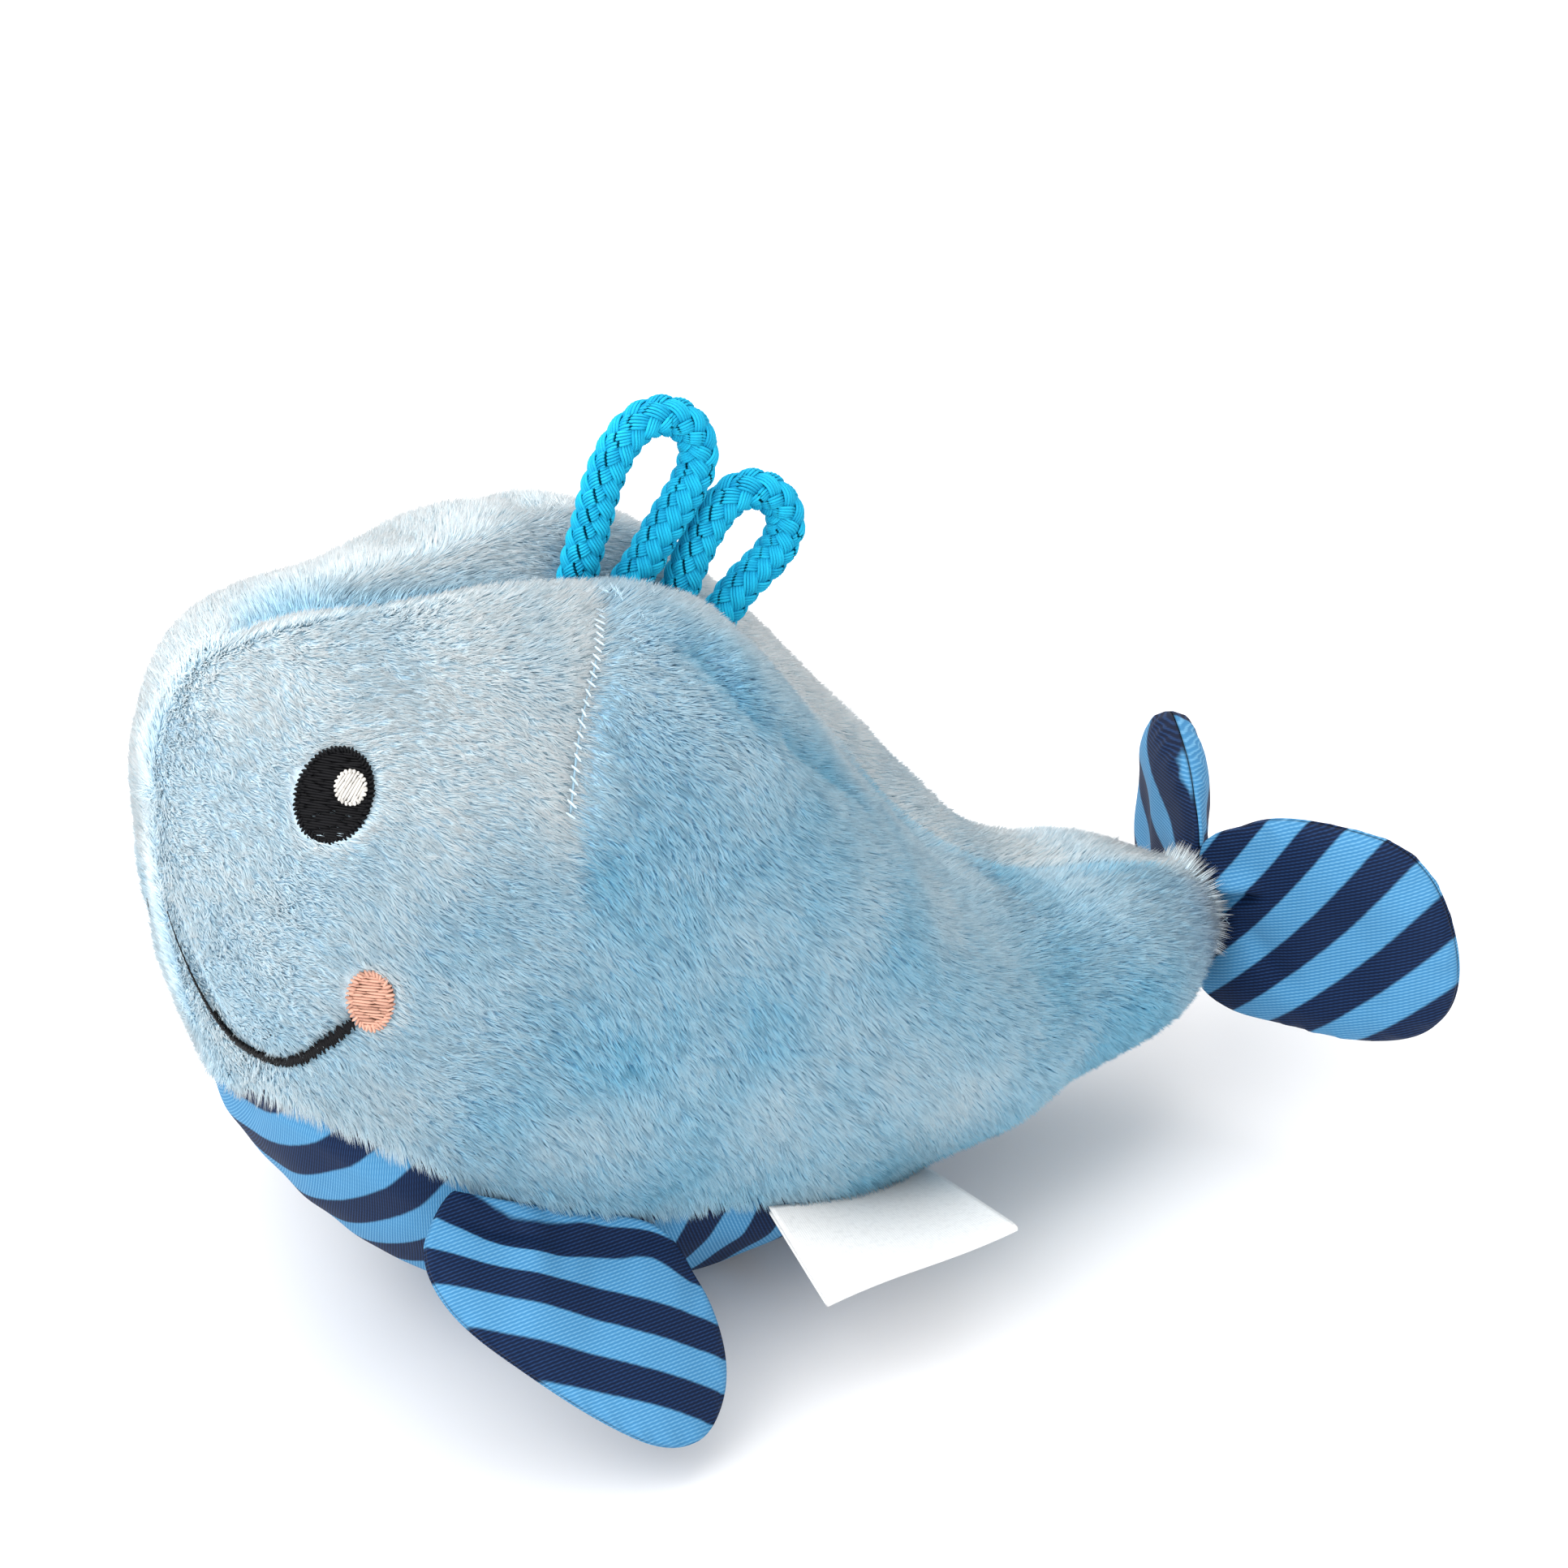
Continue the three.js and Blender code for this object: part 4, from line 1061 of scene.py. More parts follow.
@dataclass
class PlushSide:
    """One side of the whale: a knitted backing, and its pile in patches from head to tail."""

    side: Side
    fibre: Template
    rows: int = 150
    columns: int = 72
    knit: float = 0.9
    seam_gap: float = 0.08
    density: float = 17.0  # bundles of fibres on a square mm
    cells: tuple[int, int] = (160, 120)  # over which a patch's fibres are spread
    fibre_length: float = 2.0
    fibre_width: float = 0.1
    tuft: float = 0.55  # between two tufts
    tuft_pull: float = 0.45
    nap: tuple = (  # station, and there the angle below level at which the pile is brushed, and its lean
        (0.0, 14 * DEG, 74 * DEG), (0.14, 14 * DEG, 71 * DEG), (0.25, 17 * DEG, 62 * DEG),
        (0.33, 20 * DEG, 58 * DEG), (0.4, 34 * DEG, 52 * DEG),
        (0.44, 64 * DEG, 45 * DEG), (0.8, 56 * DEG, 41 * DEG), (0.93, 40 * DEG, 50 * DEG),
        (1.0, 4 * DEG, 52 * DEG),
    )
    nap_height: float = 55.0
    nap_rise: float = 0.35 * DEG  # more for each mm above that height
    face_nap: tuple = (  # height, and there the angle below level of the face's pile in the picture
        (40.0, 8 * DEG), (60.0, 10 * DEG), (78.0, 17 * DEG), (98.0, 27 * DEG),
    )
    paleness: tuple = (  # station, and how pale the lower part of the side is there: painted light and shade
        (0.0, 0.86), (0.14, 0.8), (0.22, 0.66), (0.3, 0.5), (0.36, 0.34), (0.46, 0.26), (0.6, 0.42),
        (0.72, 0.44), (0.85, 0.2), (0.93, 0.2), (1.0, 0.5),
    )
    dart_paleness: tuple = (  # the same painted light and shade for the upper part, with stations counted from the dart
        (0.0, 0.9), (0.3, 0.76), (0.36, 0.8), (0.406, 0.95), (0.42, 0.3), (0.6, 0.26), (0.72, 0.28),
        (0.85, 0.12), (0.93, 0.15), (1.0, 0.5),
    )
    patches: tuple = (0.0, 0.25, 0.37, 0.48, 0.6, 0.75, 1.03)

    def edges(self, at: np.ndarray) -> tuple[np.ndarray, np.ndarray]:
        """The angles between which the side lies, at its two seams."""
        seam = BODY.belly_seam(at)
        girth = np.linalg.norm(BODY.skin(at, seam) - BODY.skin(at, seam - 0.01), axis=-1) / 0.01
        gap = np.where(seam < math.pi - 1e-6, self.seam_gap / 2 / np.maximum(girth, 1), 0)
        return np.zeros_like(at), seam - gap

    def grid(self, depth: float) -> tuple[Places, np.ndarray]:
        """Rows and columns of points so far below the tips, and how pale they are, which is the pile's
        painted light and shade.
        """
        at = np.linspace(0, 1, self.rows) ** 1.15 * BODY.end
        share = np.linspace(0, 1, self.columns)
        _, last = self.edges(at)
        a = np.repeat(at, self.columns)
        turn = (last[:, None] * share[None]).ravel()
        points, normal = DRESSING.face(a, self.side.sign * turn, depth)
        pale = np.clip(self.pale(a, turn, points, normal), 0, 1)
        points[:, 1] = self.side.sign * np.minimum(self.side.sign * points[:, 1], -self.seam_gap / 2)
        return points.reshape(self.rows, self.columns, 3), pale.reshape(self.rows, self.columns)

    def backing(self, material: bpy.types.Material) -> bpy.types.Object:
        """The knit, which the stuffing fills out."""
        outer, pale = self.grid(DRESSING.backing)
        inner, _ = self.grid(DRESSING.backing + self.knit)
        # The backing takes the pile's paleness, its painted light and shade, in a map.
        maps = {"painted_light": np.stack([pale, 0 * pale], -1), "OFBake": even_map(self.rows, self.columns)}
        made = shell(outer, inner, maps)
        piece = made.piece(f"plush_backing_{self.side.value}", material)
        merge_points(piece)
        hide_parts(f"plush_side_{self.side.value}")
        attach(piece, "body")
        return piece

    def roots(self, first: float, last: float, rng: np.random.Generator) -> tuple[np.ndarray, np.ndarray]:
        """Stations and angles of the fibres between two stations, evenly spread over the face."""
        rows, columns = self.cells
        at = np.linspace(max(first, 0.001), last, rows + 1)
        share = np.linspace(0, 1, columns + 1)
        _, edge = self.edges(at)
        a = np.repeat(at, columns + 1)
        turn = (edge[:, None] * share[None]).ravel()
        p = BODY.skin(a, self.side.sign * turn).reshape(rows + 1, columns + 1, 3)
        area = np.linalg.norm(np.cross(p[1:, :-1] - p[:-1, :-1], p[:-1, 1:] - p[:-1, :-1]), axis=-1)
        count = int(area.sum() * self.density)
        chosen = rng.choice(area.size, count, p=(area / area.sum()).ravel())
        i, j = np.divmod(chosen, columns)
        s = at[0] + (i + rng.random(count)) / rows * (last - at[0])
        _, edge = self.edges(s)
        return s, edge * (j + rng.random(count)) / columns

    def open(self, places: Places, share: float) -> np.ndarray:
        """False within so large a share of the embroidered ovals."""
        keep = np.ones(len(places), bool)
        for oval in (EYE, CHEEK):
            up, aside, centre = BODY.oval_axes(oval)
            off = places - centre
            near = np.linalg.norm(off, axis=-1) < 2 * oval.long
            keep &= ~(near & ((off @ up / oval.long) ** 2 + (off @ aside / oval.short) ** 2 < share))
        return keep

    def kept(self, at: np.ndarray, turn: np.ndarray) -> np.ndarray:
        """False where embroidery or a cord covers the face."""
        places = BODY.skin(at, turn)
        keep = self.open(places, 0.92)
        keep &= distance_to(places, LINES["mouth"]) > 0.45
        keep &= distance_to(places, LINES["dart"]) > 0.22
        keep &= (np.abs(places[:, 1]) > 0.15) | (turn > 1) | (at > 0.97) | (at < 0.2)
        for route in (FRONT_LOOP, REAR_LOOP):
            line = smooth_line(route, 60)
            line = np.stack([line[:, 0], np.zeros(60), line[:, 1]], -1) + ORIGIN
            keep &= distance_to(places, line) > 1.2
        return keep

    def combed(self, at: np.ndarray, root: Places, normal: Places, stray: np.ndarray) -> Places:
        """The directions along the face in which the pile is brushed: nearly level over the head as the
        picture shows it, and down the flank behind the dart."""
        flip = np.array([1, self.side.sign, 1])
        facing = normal * flip
        knots, angles = np.array(self.nap).T[:2]
        angle = np.interp(at, knots, angles) + self.nap_rise * (root[:, 2] - self.nap_height) + stray
        flank = np.stack([np.cos(angle), 0 * angle, -np.sin(angle)], -1)
        flank = unit(flank - facing * (flank * facing).sum(-1, keepdims=True))
        back, right, up = view_axes()
        fall = np.interp(root[:, 2], *np.array(self.face_nap).T) + stray
        head = np.cross(np.cos(fall)[:, None] * up + np.sin(fall)[:, None] * right, facing)
        share = rounded_step(facing @ back, 0.05, 0.4) * (1 - rounded_step(at, 0.3, 0.42))
        way = flank * (1 - share)[:, None] + unit(head) * share[:, None]
        return unit(way) * flip

    def tufts(self, root: Places) -> tuple[np.ndarray, Places]:
        """The tuft that each fibre belongs to, and the way from its root to the tuft's middle."""
        wander = np.stack([Ripple(1.4, seed).at(root) for seed in (51, 52, 53)], -1)
        cells = np.floor((root + 0.2 * wander) / self.tuft).astype(np.int64)
        _, tuft = np.unique(cells @ np.array([1, 4096, 4096 * 4096]), return_inverse=True)
        count = np.bincount(tuft)
        middle = np.stack([np.bincount(tuft, root[:, k]) / count for k in range(3)], -1)
        return tuft, middle[tuft] - root

    def behind_dart(self, at: np.ndarray, turn: np.ndarray) -> np.ndarray:
        """Stations counted as if the dart stood upright."""
        stations, turns = np.array(DART).T
        dart = np.interp(turn, turns * DEG, stations)
        return at + (0.41 - dart) * np.exp(-(((at - 0.41) / 0.12) ** 2))

    def pale(self, at: np.ndarray, turn: np.ndarray, root: Places, normal: Places) -> np.ndarray:
        """How pale the fibres are over the face, which is painted light and shade, with a pale ring round
        each embroidered oval and soft mottling.
        """
        beside = self.behind_dart(at, turn)
        lower = rounded_step(turn, 55 * DEG, 85 * DEG)
        pale = lower * np.interp(at, *np.array(self.paleness).T)
        pale += (1 - lower) * np.interp(beside, *np.array(self.dart_paleness).T)
        # Painted light on faces that look up.
        pale += 0.22 * rounded_step(normal[:, 2], 0.2, 0.95)
        # Painted light on the far lobe, and painted shade in its valley beside the seam.
        if self.side is Side.RIGHT:
            above = 1 - rounded_step(turn, 60 * DEG, 100 * DEG)
            pale += (0.15 + 0.35 * rounded_step(at, 0.36, 0.5)) * above
            valley = np.exp(-(((root[:, 1] - 1) / 4.5) ** 2))
            pale -= 0.7 * valley * (turn < 1) * rounded_step(at, 0.15, 0.24) * (at < 0.5)
        # Painted shade, darker towards the bottom of the body.
        pale -= 0.45 * (1 - rounded_step(root[:, 2], 5, 34)) * rounded_step(at, 0.25, 0.4)
        # Painted light along the top of the back.
        crest = rounded_step(at, 0.46, 0.54) * (1 - rounded_step(at, 0.66, 0.72))
        pale += 0.45 * crest * np.exp(-((turn / (17 * DEG)) ** 2))
        places = BODY.skin(at, turn)
        # Painted shade in the dent and along the seam.
        pale -= 0.4 * np.exp(-((distance_to(places, LINES["dent"]) / 3.0) ** 2))
        seam = np.exp(-((root[:, 1] / 0.8) ** 2))
        pale -= 0.6 * seam * (turn < 1) * rounded_step(at, 0.15, 0.24) * (at < 0.97)
        for oval in (EYE, CHEEK):
            up, aside, centre = BODY.oval_axes(oval)
            off = places - centre
            ring = np.sqrt((off @ up / oval.long) ** 2 + (off @ aside / oval.short) ** 2)
            pale += 0.3 * np.exp(-(((ring - 1) * oval.short / 1.1) ** 2))
        # Broad patches of painted sheen where the brushed nap catches the light, and fine mottling.
        return pale + 0.08 * Ripple(15, 26).at(root) + 0.03 * Ripple(4, 27).at(root)

    def pile(self, material: bpy.types.Material, number: int) -> bpy.types.Object:
        """One patch of pile."""
        rng = np.random.default_rng(100 * number + self.side.sign + 1)
        at, turn = self.roots(self.patches[number], self.patches[number + 1], rng)
        keep = self.kept(at, turn) & ((at < 0.965) | (rng.random(len(at)) < 0.65))
        at, turn = at[keep], turn[keep]
        count = len(at)
        root, normal = DRESSING.face(at, self.side.sign * turn, DRESSING.backing)
        tuft, pull = self.tufts(root)
        own = rng.normal(size=(tuft.max() + 1, 3))[tuft]
        stray = 0.18 * Ripple(17, 21).at(root) + 0.1 * Ripple(2.2, 22).at(root)
        stray += 0.16 * own[:, 0] + rng.normal(0, 0.1, count)
        beside = self.behind_dart(at, turn)
        nap = self.combed(beside, root, normal, stray)
        around = unit(BODY.skin(at, self.side.sign * (turn + 0.004)) - BODY.skin(at, self.side.sign * turn))
        _, edge = self.edges(at)
        girth = np.linalg.norm(BODY.skin(at, edge) - BODY.skin(at, edge - 0.02), axis=-1) / 0.02
        over = np.exp(-(((edge - turn) * girth / 2.0) ** 2)) * (edge < math.pi - 1e-3)
        standing = np.exp(-((root[:, 1] / 1.8) ** 2)) * (turn < 1) * (at < 1) * rounded_step(at, 0.15, 0.24)
        standing *= np.where(at < 0.5, self.side is Side.LEFT, 1.0)
        closing = np.exp(-((root[:, 1] / 2.2) ** 2)) * (1 - rounded_step(at, 0.15, 0.24))
        nap = nap + around * (1.2 * over - 0.35 * standing)[:, None]
        nap = unit(nap + closing[:, None] * np.array([0, 1.1 * self.side.sign, 0]))
        knots, leans = np.array(self.nap).T[[0, 2]]
        lean = np.interp(beside, knots, leans) + 0.1 * Ripple(15, 25).at(root) + 0.1 * own[:, 1]
        lean = (lean + rng.normal(0, 0.08, count)) * (1 - 0.5 * standing) * (1 - 0.25 * closing)
        lean = np.clip(lean, 0.12, 1.3)
        end = rounded_step(at, 0.965, 1.0)
        capped = at > 1
        middle = BODY.skin(BODY.end, 0.0)
        nap[capped] = unit((root[capped] - middle) * np.array([0, 1, 1]) + 1e-4)
        lean[capped] *= 0.6
        way = normal * np.cos(lean)[:, None] + nap * np.sin(lean)[:, None]
        length = self.fibre_length * rng.uniform(0.85, 1.12, count)
        length *= 1 + (0.15 + 0.1 * (at < 0.3)) * over + 0.6 * end
        pull -= normal * (pull * normal).sum(-1, keepdims=True)
        tip = way * length[:, None] + self.tuft_pull * pull * (1 + 2 * end)[:, None]
        flip = np.array([1, self.side.sign, 1])
        clear = self.open((root + tip) * flip, 0.97) & self.open((root + 0.6 * tip) * flip, 0.9)
        at, turn, root, normal, tip = (part[clear] for part in (at, turn, root, normal, tip))
        over, end, own = over[clear], end[clear], own[clear]
        count = len(at)
        first = unit(np.cross(tip, normal + 1e-3))
        second = unit(np.cross(tip, first))
        width = self.fibre_width * rng.uniform(0.8, 1.2, count)
        axes = np.stack([first * width[:, None], second * width[:, None], tip], 1)
        # The fringes over the belly seam and at the tail's end are made paler still: painted light.
        pale = np.clip(self.pale(at, turn, root, normal) + 0.15 * over + 0.5 * end, 0, 1)
        tone = 0.5 + 0.06 * Ripple(2.0, 24).at(root) + (0.32 - 0.24 * pale) * own[:, 2]
        tone += rng.normal(0, 0.08, count)
        made = self.fibre.copied(root, axes, np.clip(tone, 0, 1), self.fibre.points[:, 2], pale)
        piece = made.piece(f"plush_pile_{self.side.value}_{number + 1}", material)
        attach(piece, "body")
        return piece


def merge_points(piece: bpy.types.Object) -> None:
    """Closes poles and seams, and turns the faces outwards."""
    take_up(piece)
    bpy.ops.object.mode_set(mode="EDIT")
    bpy.ops.mesh.select_all(action="SELECT")
    bpy.ops.mesh.remove_doubles(threshold=0.002 * MM)
    bpy.ops.mesh.normals_make_consistent(inside=False)
    bpy.ops.object.mode_set(mode="OBJECT")


@dataclass
class BellyPanel:
    """The striped twill leaf from the chin to the tail."""

    keel_steps: int = 400  # over which its length along the keel is measured
    rim_drop: float = 1.5  # how far its edges go down into the seams
    stripe: float = 5.1
    first_edge: float = 35.0  # along the keel from the nose
    bow: float = 8.6  # how far the stripes bend back at the edges
    sink: float = 0.5
    cloth: float = 1.0
    rows: int = 150
    columns: int = 80

    def build(self, material: bpy.types.Material) -> bpy.types.Object:
        """Makes the panel."""
        at = np.linspace(BODY.belly_front + 0.002, BODY.belly_back - 0.002, self.rows)
        keel = BODY.skin(np.linspace(0, 1, self.keel_steps), math.pi)
        run = arc_length(keel)
        seam = BODY.belly_seam(at)
        share = np.linspace(-1, 1, self.columns)
        turn = math.pi - (math.pi - seam)[:, None] * share[None]
        a = np.repeat(at, self.columns)
        faces = []
        for depth in (self.sink, self.sink + self.cloth):
            edge = self.rim_drop * rounded_step(np.abs(share), 0.84, 1.0)
            ends = self.rim_drop * (1 - rounded_step(at, BODY.belly_front, BODY.belly_front + 0.035))
            rim = np.maximum(edge[None], ends[:, None]).ravel()
            sunk = depth + rim + 0.12 * Ripple(9, 31).at(BODY.skin(a, turn.ravel()))
            points = BODY.under(a, turn.ravel(), sunk)
            points[:, 2] = np.maximum(points[:, 2], 0.02 + (depth - self.sink))
            faces.append(points.reshape(self.rows, self.columns, 3))
        along = np.interp(at, np.linspace(0, 1, self.keel_steps), run)
        sideways = (math.pi - turn) / BODY.belly_spread
        count = (along[:, None] - self.bow * sideways**2 - self.first_edge) / self.stripe
        arc = arc_length(faces[0], axis=1)
        arc -= arc[:, self.columns // 2][:, None]
        maps = {
            "stripe": np.stack([count + 20, np.zeros_like(count)], -1),
            "weave": np.stack([arc, np.broadcast_to(along[:, None], arc.shape)], -1),
            "OFBake": even_map(self.rows, self.columns),
        }
        piece = shell(faces[0], faces[1], maps).piece("belly_cloth", material)
        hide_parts("belly_panel")
        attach(piece, "body")
        return piece


# Flippers and flukes


@dataclass(frozen=True)
class LimbFrame:
    """A limb's plane: where its root is, and its two directions and their normal."""

    origin: Places
    u: Places
    v: Places
    w: Places

    def mirrored(self) -> "LimbFrame":
        """The same frame on the right side."""
        flip = np.array([1, -1, 1])
        return LimbFrame(self.origin * flip, self.u * flip, self.v * flip, self.w * flip)


@dataclass
class Limb:
    """A padded limb: two cloths that meet in a seam round the edge, gathered at the root."""

    name: str
    body: str
    frame: LimbFrame
    outline: tuple
    thickness: float
    root_thickness: float
    reach_axis: int  # 0 if the limb reaches along u, 1 along v
    stripes: tuple[float, float, float, float, float, float]  # 1, u, v, u*u, u*v, v*v
    tuck: float = 2.0  # how far its root runs on into the seam
    crown: float = 2.6
    fill_share: float = 0.45
    pucker: float = 0.28
    gather: float = 0.35
    cloth: float = 0.5
    seam_gap: float = 0.12
    edge_points: int = 140
    rings: int = 26
    seed: int = 1
    weave_turn: float = 0.0
    lump: float = 0.3
    warps: tuple = ()  # of the stripes: place, reach both ways, shift, and cloth (1 outer, -1 inner, 0 both)
    folds: tuple = ()  # in the outer cloth: place, angle, half length, half width and depth

    def rim(self) -> Places:
        """The outline, its root edge moved into the seam."""
        line = smooth_line(self.outline, self.edge_points)
        axis = self.reach_axis
        near = rounded_step(-line[:, axis], -4.0, 0.0)
        line[:, axis] -= self.tuck * near
        return line

    def counted(self, u: np.ndarray, v: np.ndarray, cloth: int) -> np.ndarray:
        """The stripes counted over one of the cloths."""
        k = self.stripes
        count = k[0] + k[1] * u + k[2] * v + k[3] * u * u + k[4] * u * v + k[5] * v * v
        for at_u, at_v, wide_u, wide_v, shift, which in self.warps:
            if which in (0, cloth):
                count = count + shift * np.exp(-(((u - at_u) / wide_u) ** 2) - ((v - at_v) / wide_v) ** 2)
        return count

    def folded(self, u: np.ndarray, v: np.ndarray) -> np.ndarray:
        """How deep the outer cloth's folds are."""
        depth = np.zeros_like(u)
        for at_u, at_v, angle, long, wide, deep in self.folds:
            c, s = math.cos(angle), math.sin(angle)
            along, across = (u - at_u) * c + (v - at_v) * s, (v - at_v) * c - (u - at_u) * s
            depth += deep * np.exp(-((along / long) ** 2) - (across / wide) ** 2)
        return depth

    def build(self, material: bpy.types.Material) -> list[bpy.types.Object]:
        """Makes both cloths."""
        rim = self.rim()
        middle = rim.mean(0)
        ring = np.linspace(0, 1, self.rings) ** 0.75
        flat = middle + ring[:, None, None] * (rim - middle)[None]
        reach = np.abs(flat[..., self.reach_axis]).max()
        out = np.clip(flat[..., self.reach_axis], 0, None)
        share = np.clip(out / (self.fill_share * reach), 0, 1)
        full = self.root_thickness + (self.thickness - self.root_thickness) * share**0.7
        arch = np.sqrt(np.clip(1 - ring**self.crown, 0, 1))[:, None]
        run = arc_length(rim)
        rng = np.random.default_rng(self.seed)
        pieces = []
        for sign, layer in ((1, "outer"), (-1, "inner")):
            phase = rng.uniform(0, 6)
            waves = np.cos(run / 2.3 * 2 * math.pi / 2 + phase + 1.5 * np.cos(run / 9 + phase))
            near_rim = np.exp(-(((1 - ring) / 0.09) ** 2))[:, None] * (ring < 1)[:, None]
            pucker = self.pucker * waves[None] * near_rim * rounded_step(out, 2, 6)
            beside = flat[..., 1 - self.reach_axis]
            across = np.stack([beside, 0.12 * out, 0 * out], -1).reshape(-1, 3)
            pleats = Ripple(4.5, self.seed + 3 + sign).at(across).reshape(out.shape) * np.exp(-out / 6)
            spread = np.concatenate([flat, 0 * flat[..., :1]], -1).reshape(-1, 3)
            lumps = Ripple(14, self.seed + 7 + sign).at(spread)
            height = (full / 2) * arch + pucker + self.gather * pleats * arch
            height += self.lump * lumps.reshape(out.shape) * arch * rounded_step(1 - ring, 0.02, 0.3)[:, None]
            if sign > 0:
                height -= self.folded(flat[..., 0], flat[..., 1]) * arch
            faces = []
            for inset in (0.0, self.cloth):
                w = sign * np.maximum(self.seam_gap / 2 + (self.cloth - inset) * 0.9, height - inset)
                faces.append(
                    self.frame.origin + flat[..., :1] * self.frame.u + flat[..., 1:] * self.frame.v
                    + w[..., None] * self.frame.w
                )
            u, v = flat[..., 0], flat[..., 1]
            count = self.counted(u, v, sign)
            c, s = math.cos(self.weave_turn), math.sin(self.weave_turn)
            weave = np.stack([u * c + v * s, v * c - u * s], -1)
            box = (flat - flat.min((0, 1))) / np.ptp(flat, axis=(0, 1)).max()
            maps = {"stripe": np.stack([count + 21, count * 0], -1), "weave": weave, "OFBake": box}
            made = shell(faces[0], faces[1], maps, wrapped=True)
            piece = made.piece(f"{self.name}_{layer}_cloth", material)
            merge_points(piece)
            kind, side = self.name.split("_")
            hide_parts(f"{kind}_{layer}_cloth_{side}")
            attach(piece, self.body)
            pieces.append(piece)
        return pieces


FIN_OUTLINE = (
    (-12.5, 0), (-15.4, 4), (-14.4, 8.8), (-10, 13.4), (-3.6, 17), (4, 20.6), (10.4, 23),
    (15.4, 24), (19.8, 22.9), (22.4, 19.2), (23.2, 14), (21.6, 8), (18.4, 3.2), (12.5, 0), (0, 0), (-12.5, 0),
)
FLUKE_OUTLINE = (
    (0, -6.5), (0.4, -11), (2.4, -13.8), (6.5, -14.4), (12.4, -13.8), (20.4, -13), (27, -11.2), (32, -8.4),
    (35.2, -4), (36, 2), (34.4, 8.4), (31.2, 13.8), (26, 16.8), (18.6, 17), (12, 16.2), (5.6, 14), (1, 10),
    (0, 6.5), (0, -6.5),
)
FIN_WARPS = ((-6.0, 2.0, 6.5, 3.6, -0.65, 0), (0.5, 2.5, 4.0, 3.5, -0.25, 0), (12.5, 1.5, 4.0, 3.5, 0.4, 0))
FIN_FOLDS = (
    (-9.8, 1.2, 0.12, 5.2, 1.0, 1.5), (-3.0, 1.8, 0.0, 5.0, 1.4, 0.5), (-8.5, 3.6, 0.1, 6.0, 1.3, -0.5),
)
FLUKE_FOLDS = (
    (4.6, 3.2, 0.42, 3.4, 0.8, 2.6), (4.4, 5.3, 0.42, 3.4, 1.4, -1.5), (9.0, -3.0, -0.5, 8.0, 2.2, 0.6),
)
FAR_FLUKE_WARPS = ((18.0, 8.0, 40.0, 40.0, -0.6, -1),)


def fin_frame(side: Side, front: float = 0.318, back: float = 0.478, droop: float = 48 * DEG) -> LimbFrame:
    """A flipper's plane: its root lies on the belly seam, and it hangs out and down."""
    middle = (front + back) / 2
    u = unit(BODY.skin(back, BODY.belly_seam(back)) - BODY.skin(front, BODY.belly_seam(front)))
    v = np.array([0, -math.cos(droop), -math.sin(droop)])
    v = unit(v - u * (v @ u))
    w = np.cross(v, u)
    w = w if w[2] > 0 else -w
    lean = 1.1 * abs(w @ BODY.outward(middle, BODY.belly_seam(middle)))
    made = LimbFrame(BODY.under(middle, BODY.belly_seam(middle), -0.3 - lean), u, v, w)
    return made if side is Side.LEFT else made.mirrored()


def fluke_frame(side: Side) -> LimbFrame:
    """A fluke's plane: its root stands in the tail seam, and it spreads back and out."""
    spread, droop = (61 * DEG, 0.0) if side is Side.LEFT else (68 * DEG, 6 * DEG)
    u = np.array([math.cos(spread), -math.sin(spread), 0])
    w = np.cross(u, [0, 0, 1.0])
    level = u
    u = level * math.cos(droop) + np.cross(-w, level) * math.sin(droop)
    if u[2] > 0:
        u = level * math.cos(droop) - np.cross(-w, level) * math.sin(droop)
    v = np.cross(w, u)
    tail = STATIONS[-1]
    end = max(tail.ridge[0], tail.keel[0]) + 0.3 + 1.3 * math.sin(spread) + 6.5 * abs(v[0])
    origin = np.array([end, -2.4, (tail.ridge[1] + tail.keel[1]) / 2]) + ORIGIN
    made = LimbFrame(origin, u, v, w)
    return made if side is Side.LEFT else made.mirrored()


# Embroidery


def sewn(work: Any, made: Sheet, material: bpy.types.Material) -> bpy.types.Object:
    """Puts embroidery made for the left side on its own side of the body.

    Args:
        work: The SatinPatch or StitchedLine.
        made: Its threads, on the left side.
        material: Its finish.

    Returns:
        The piece.
    """
    made.points = made.points * np.array([1, work.side.sign, 1])
    if work.side is Side.RIGHT:
        made.faces = made.faces[:, ::-1]
    piece = made.piece(work.name, material)
    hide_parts(work.node)
    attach(piece, "body")
    return piece


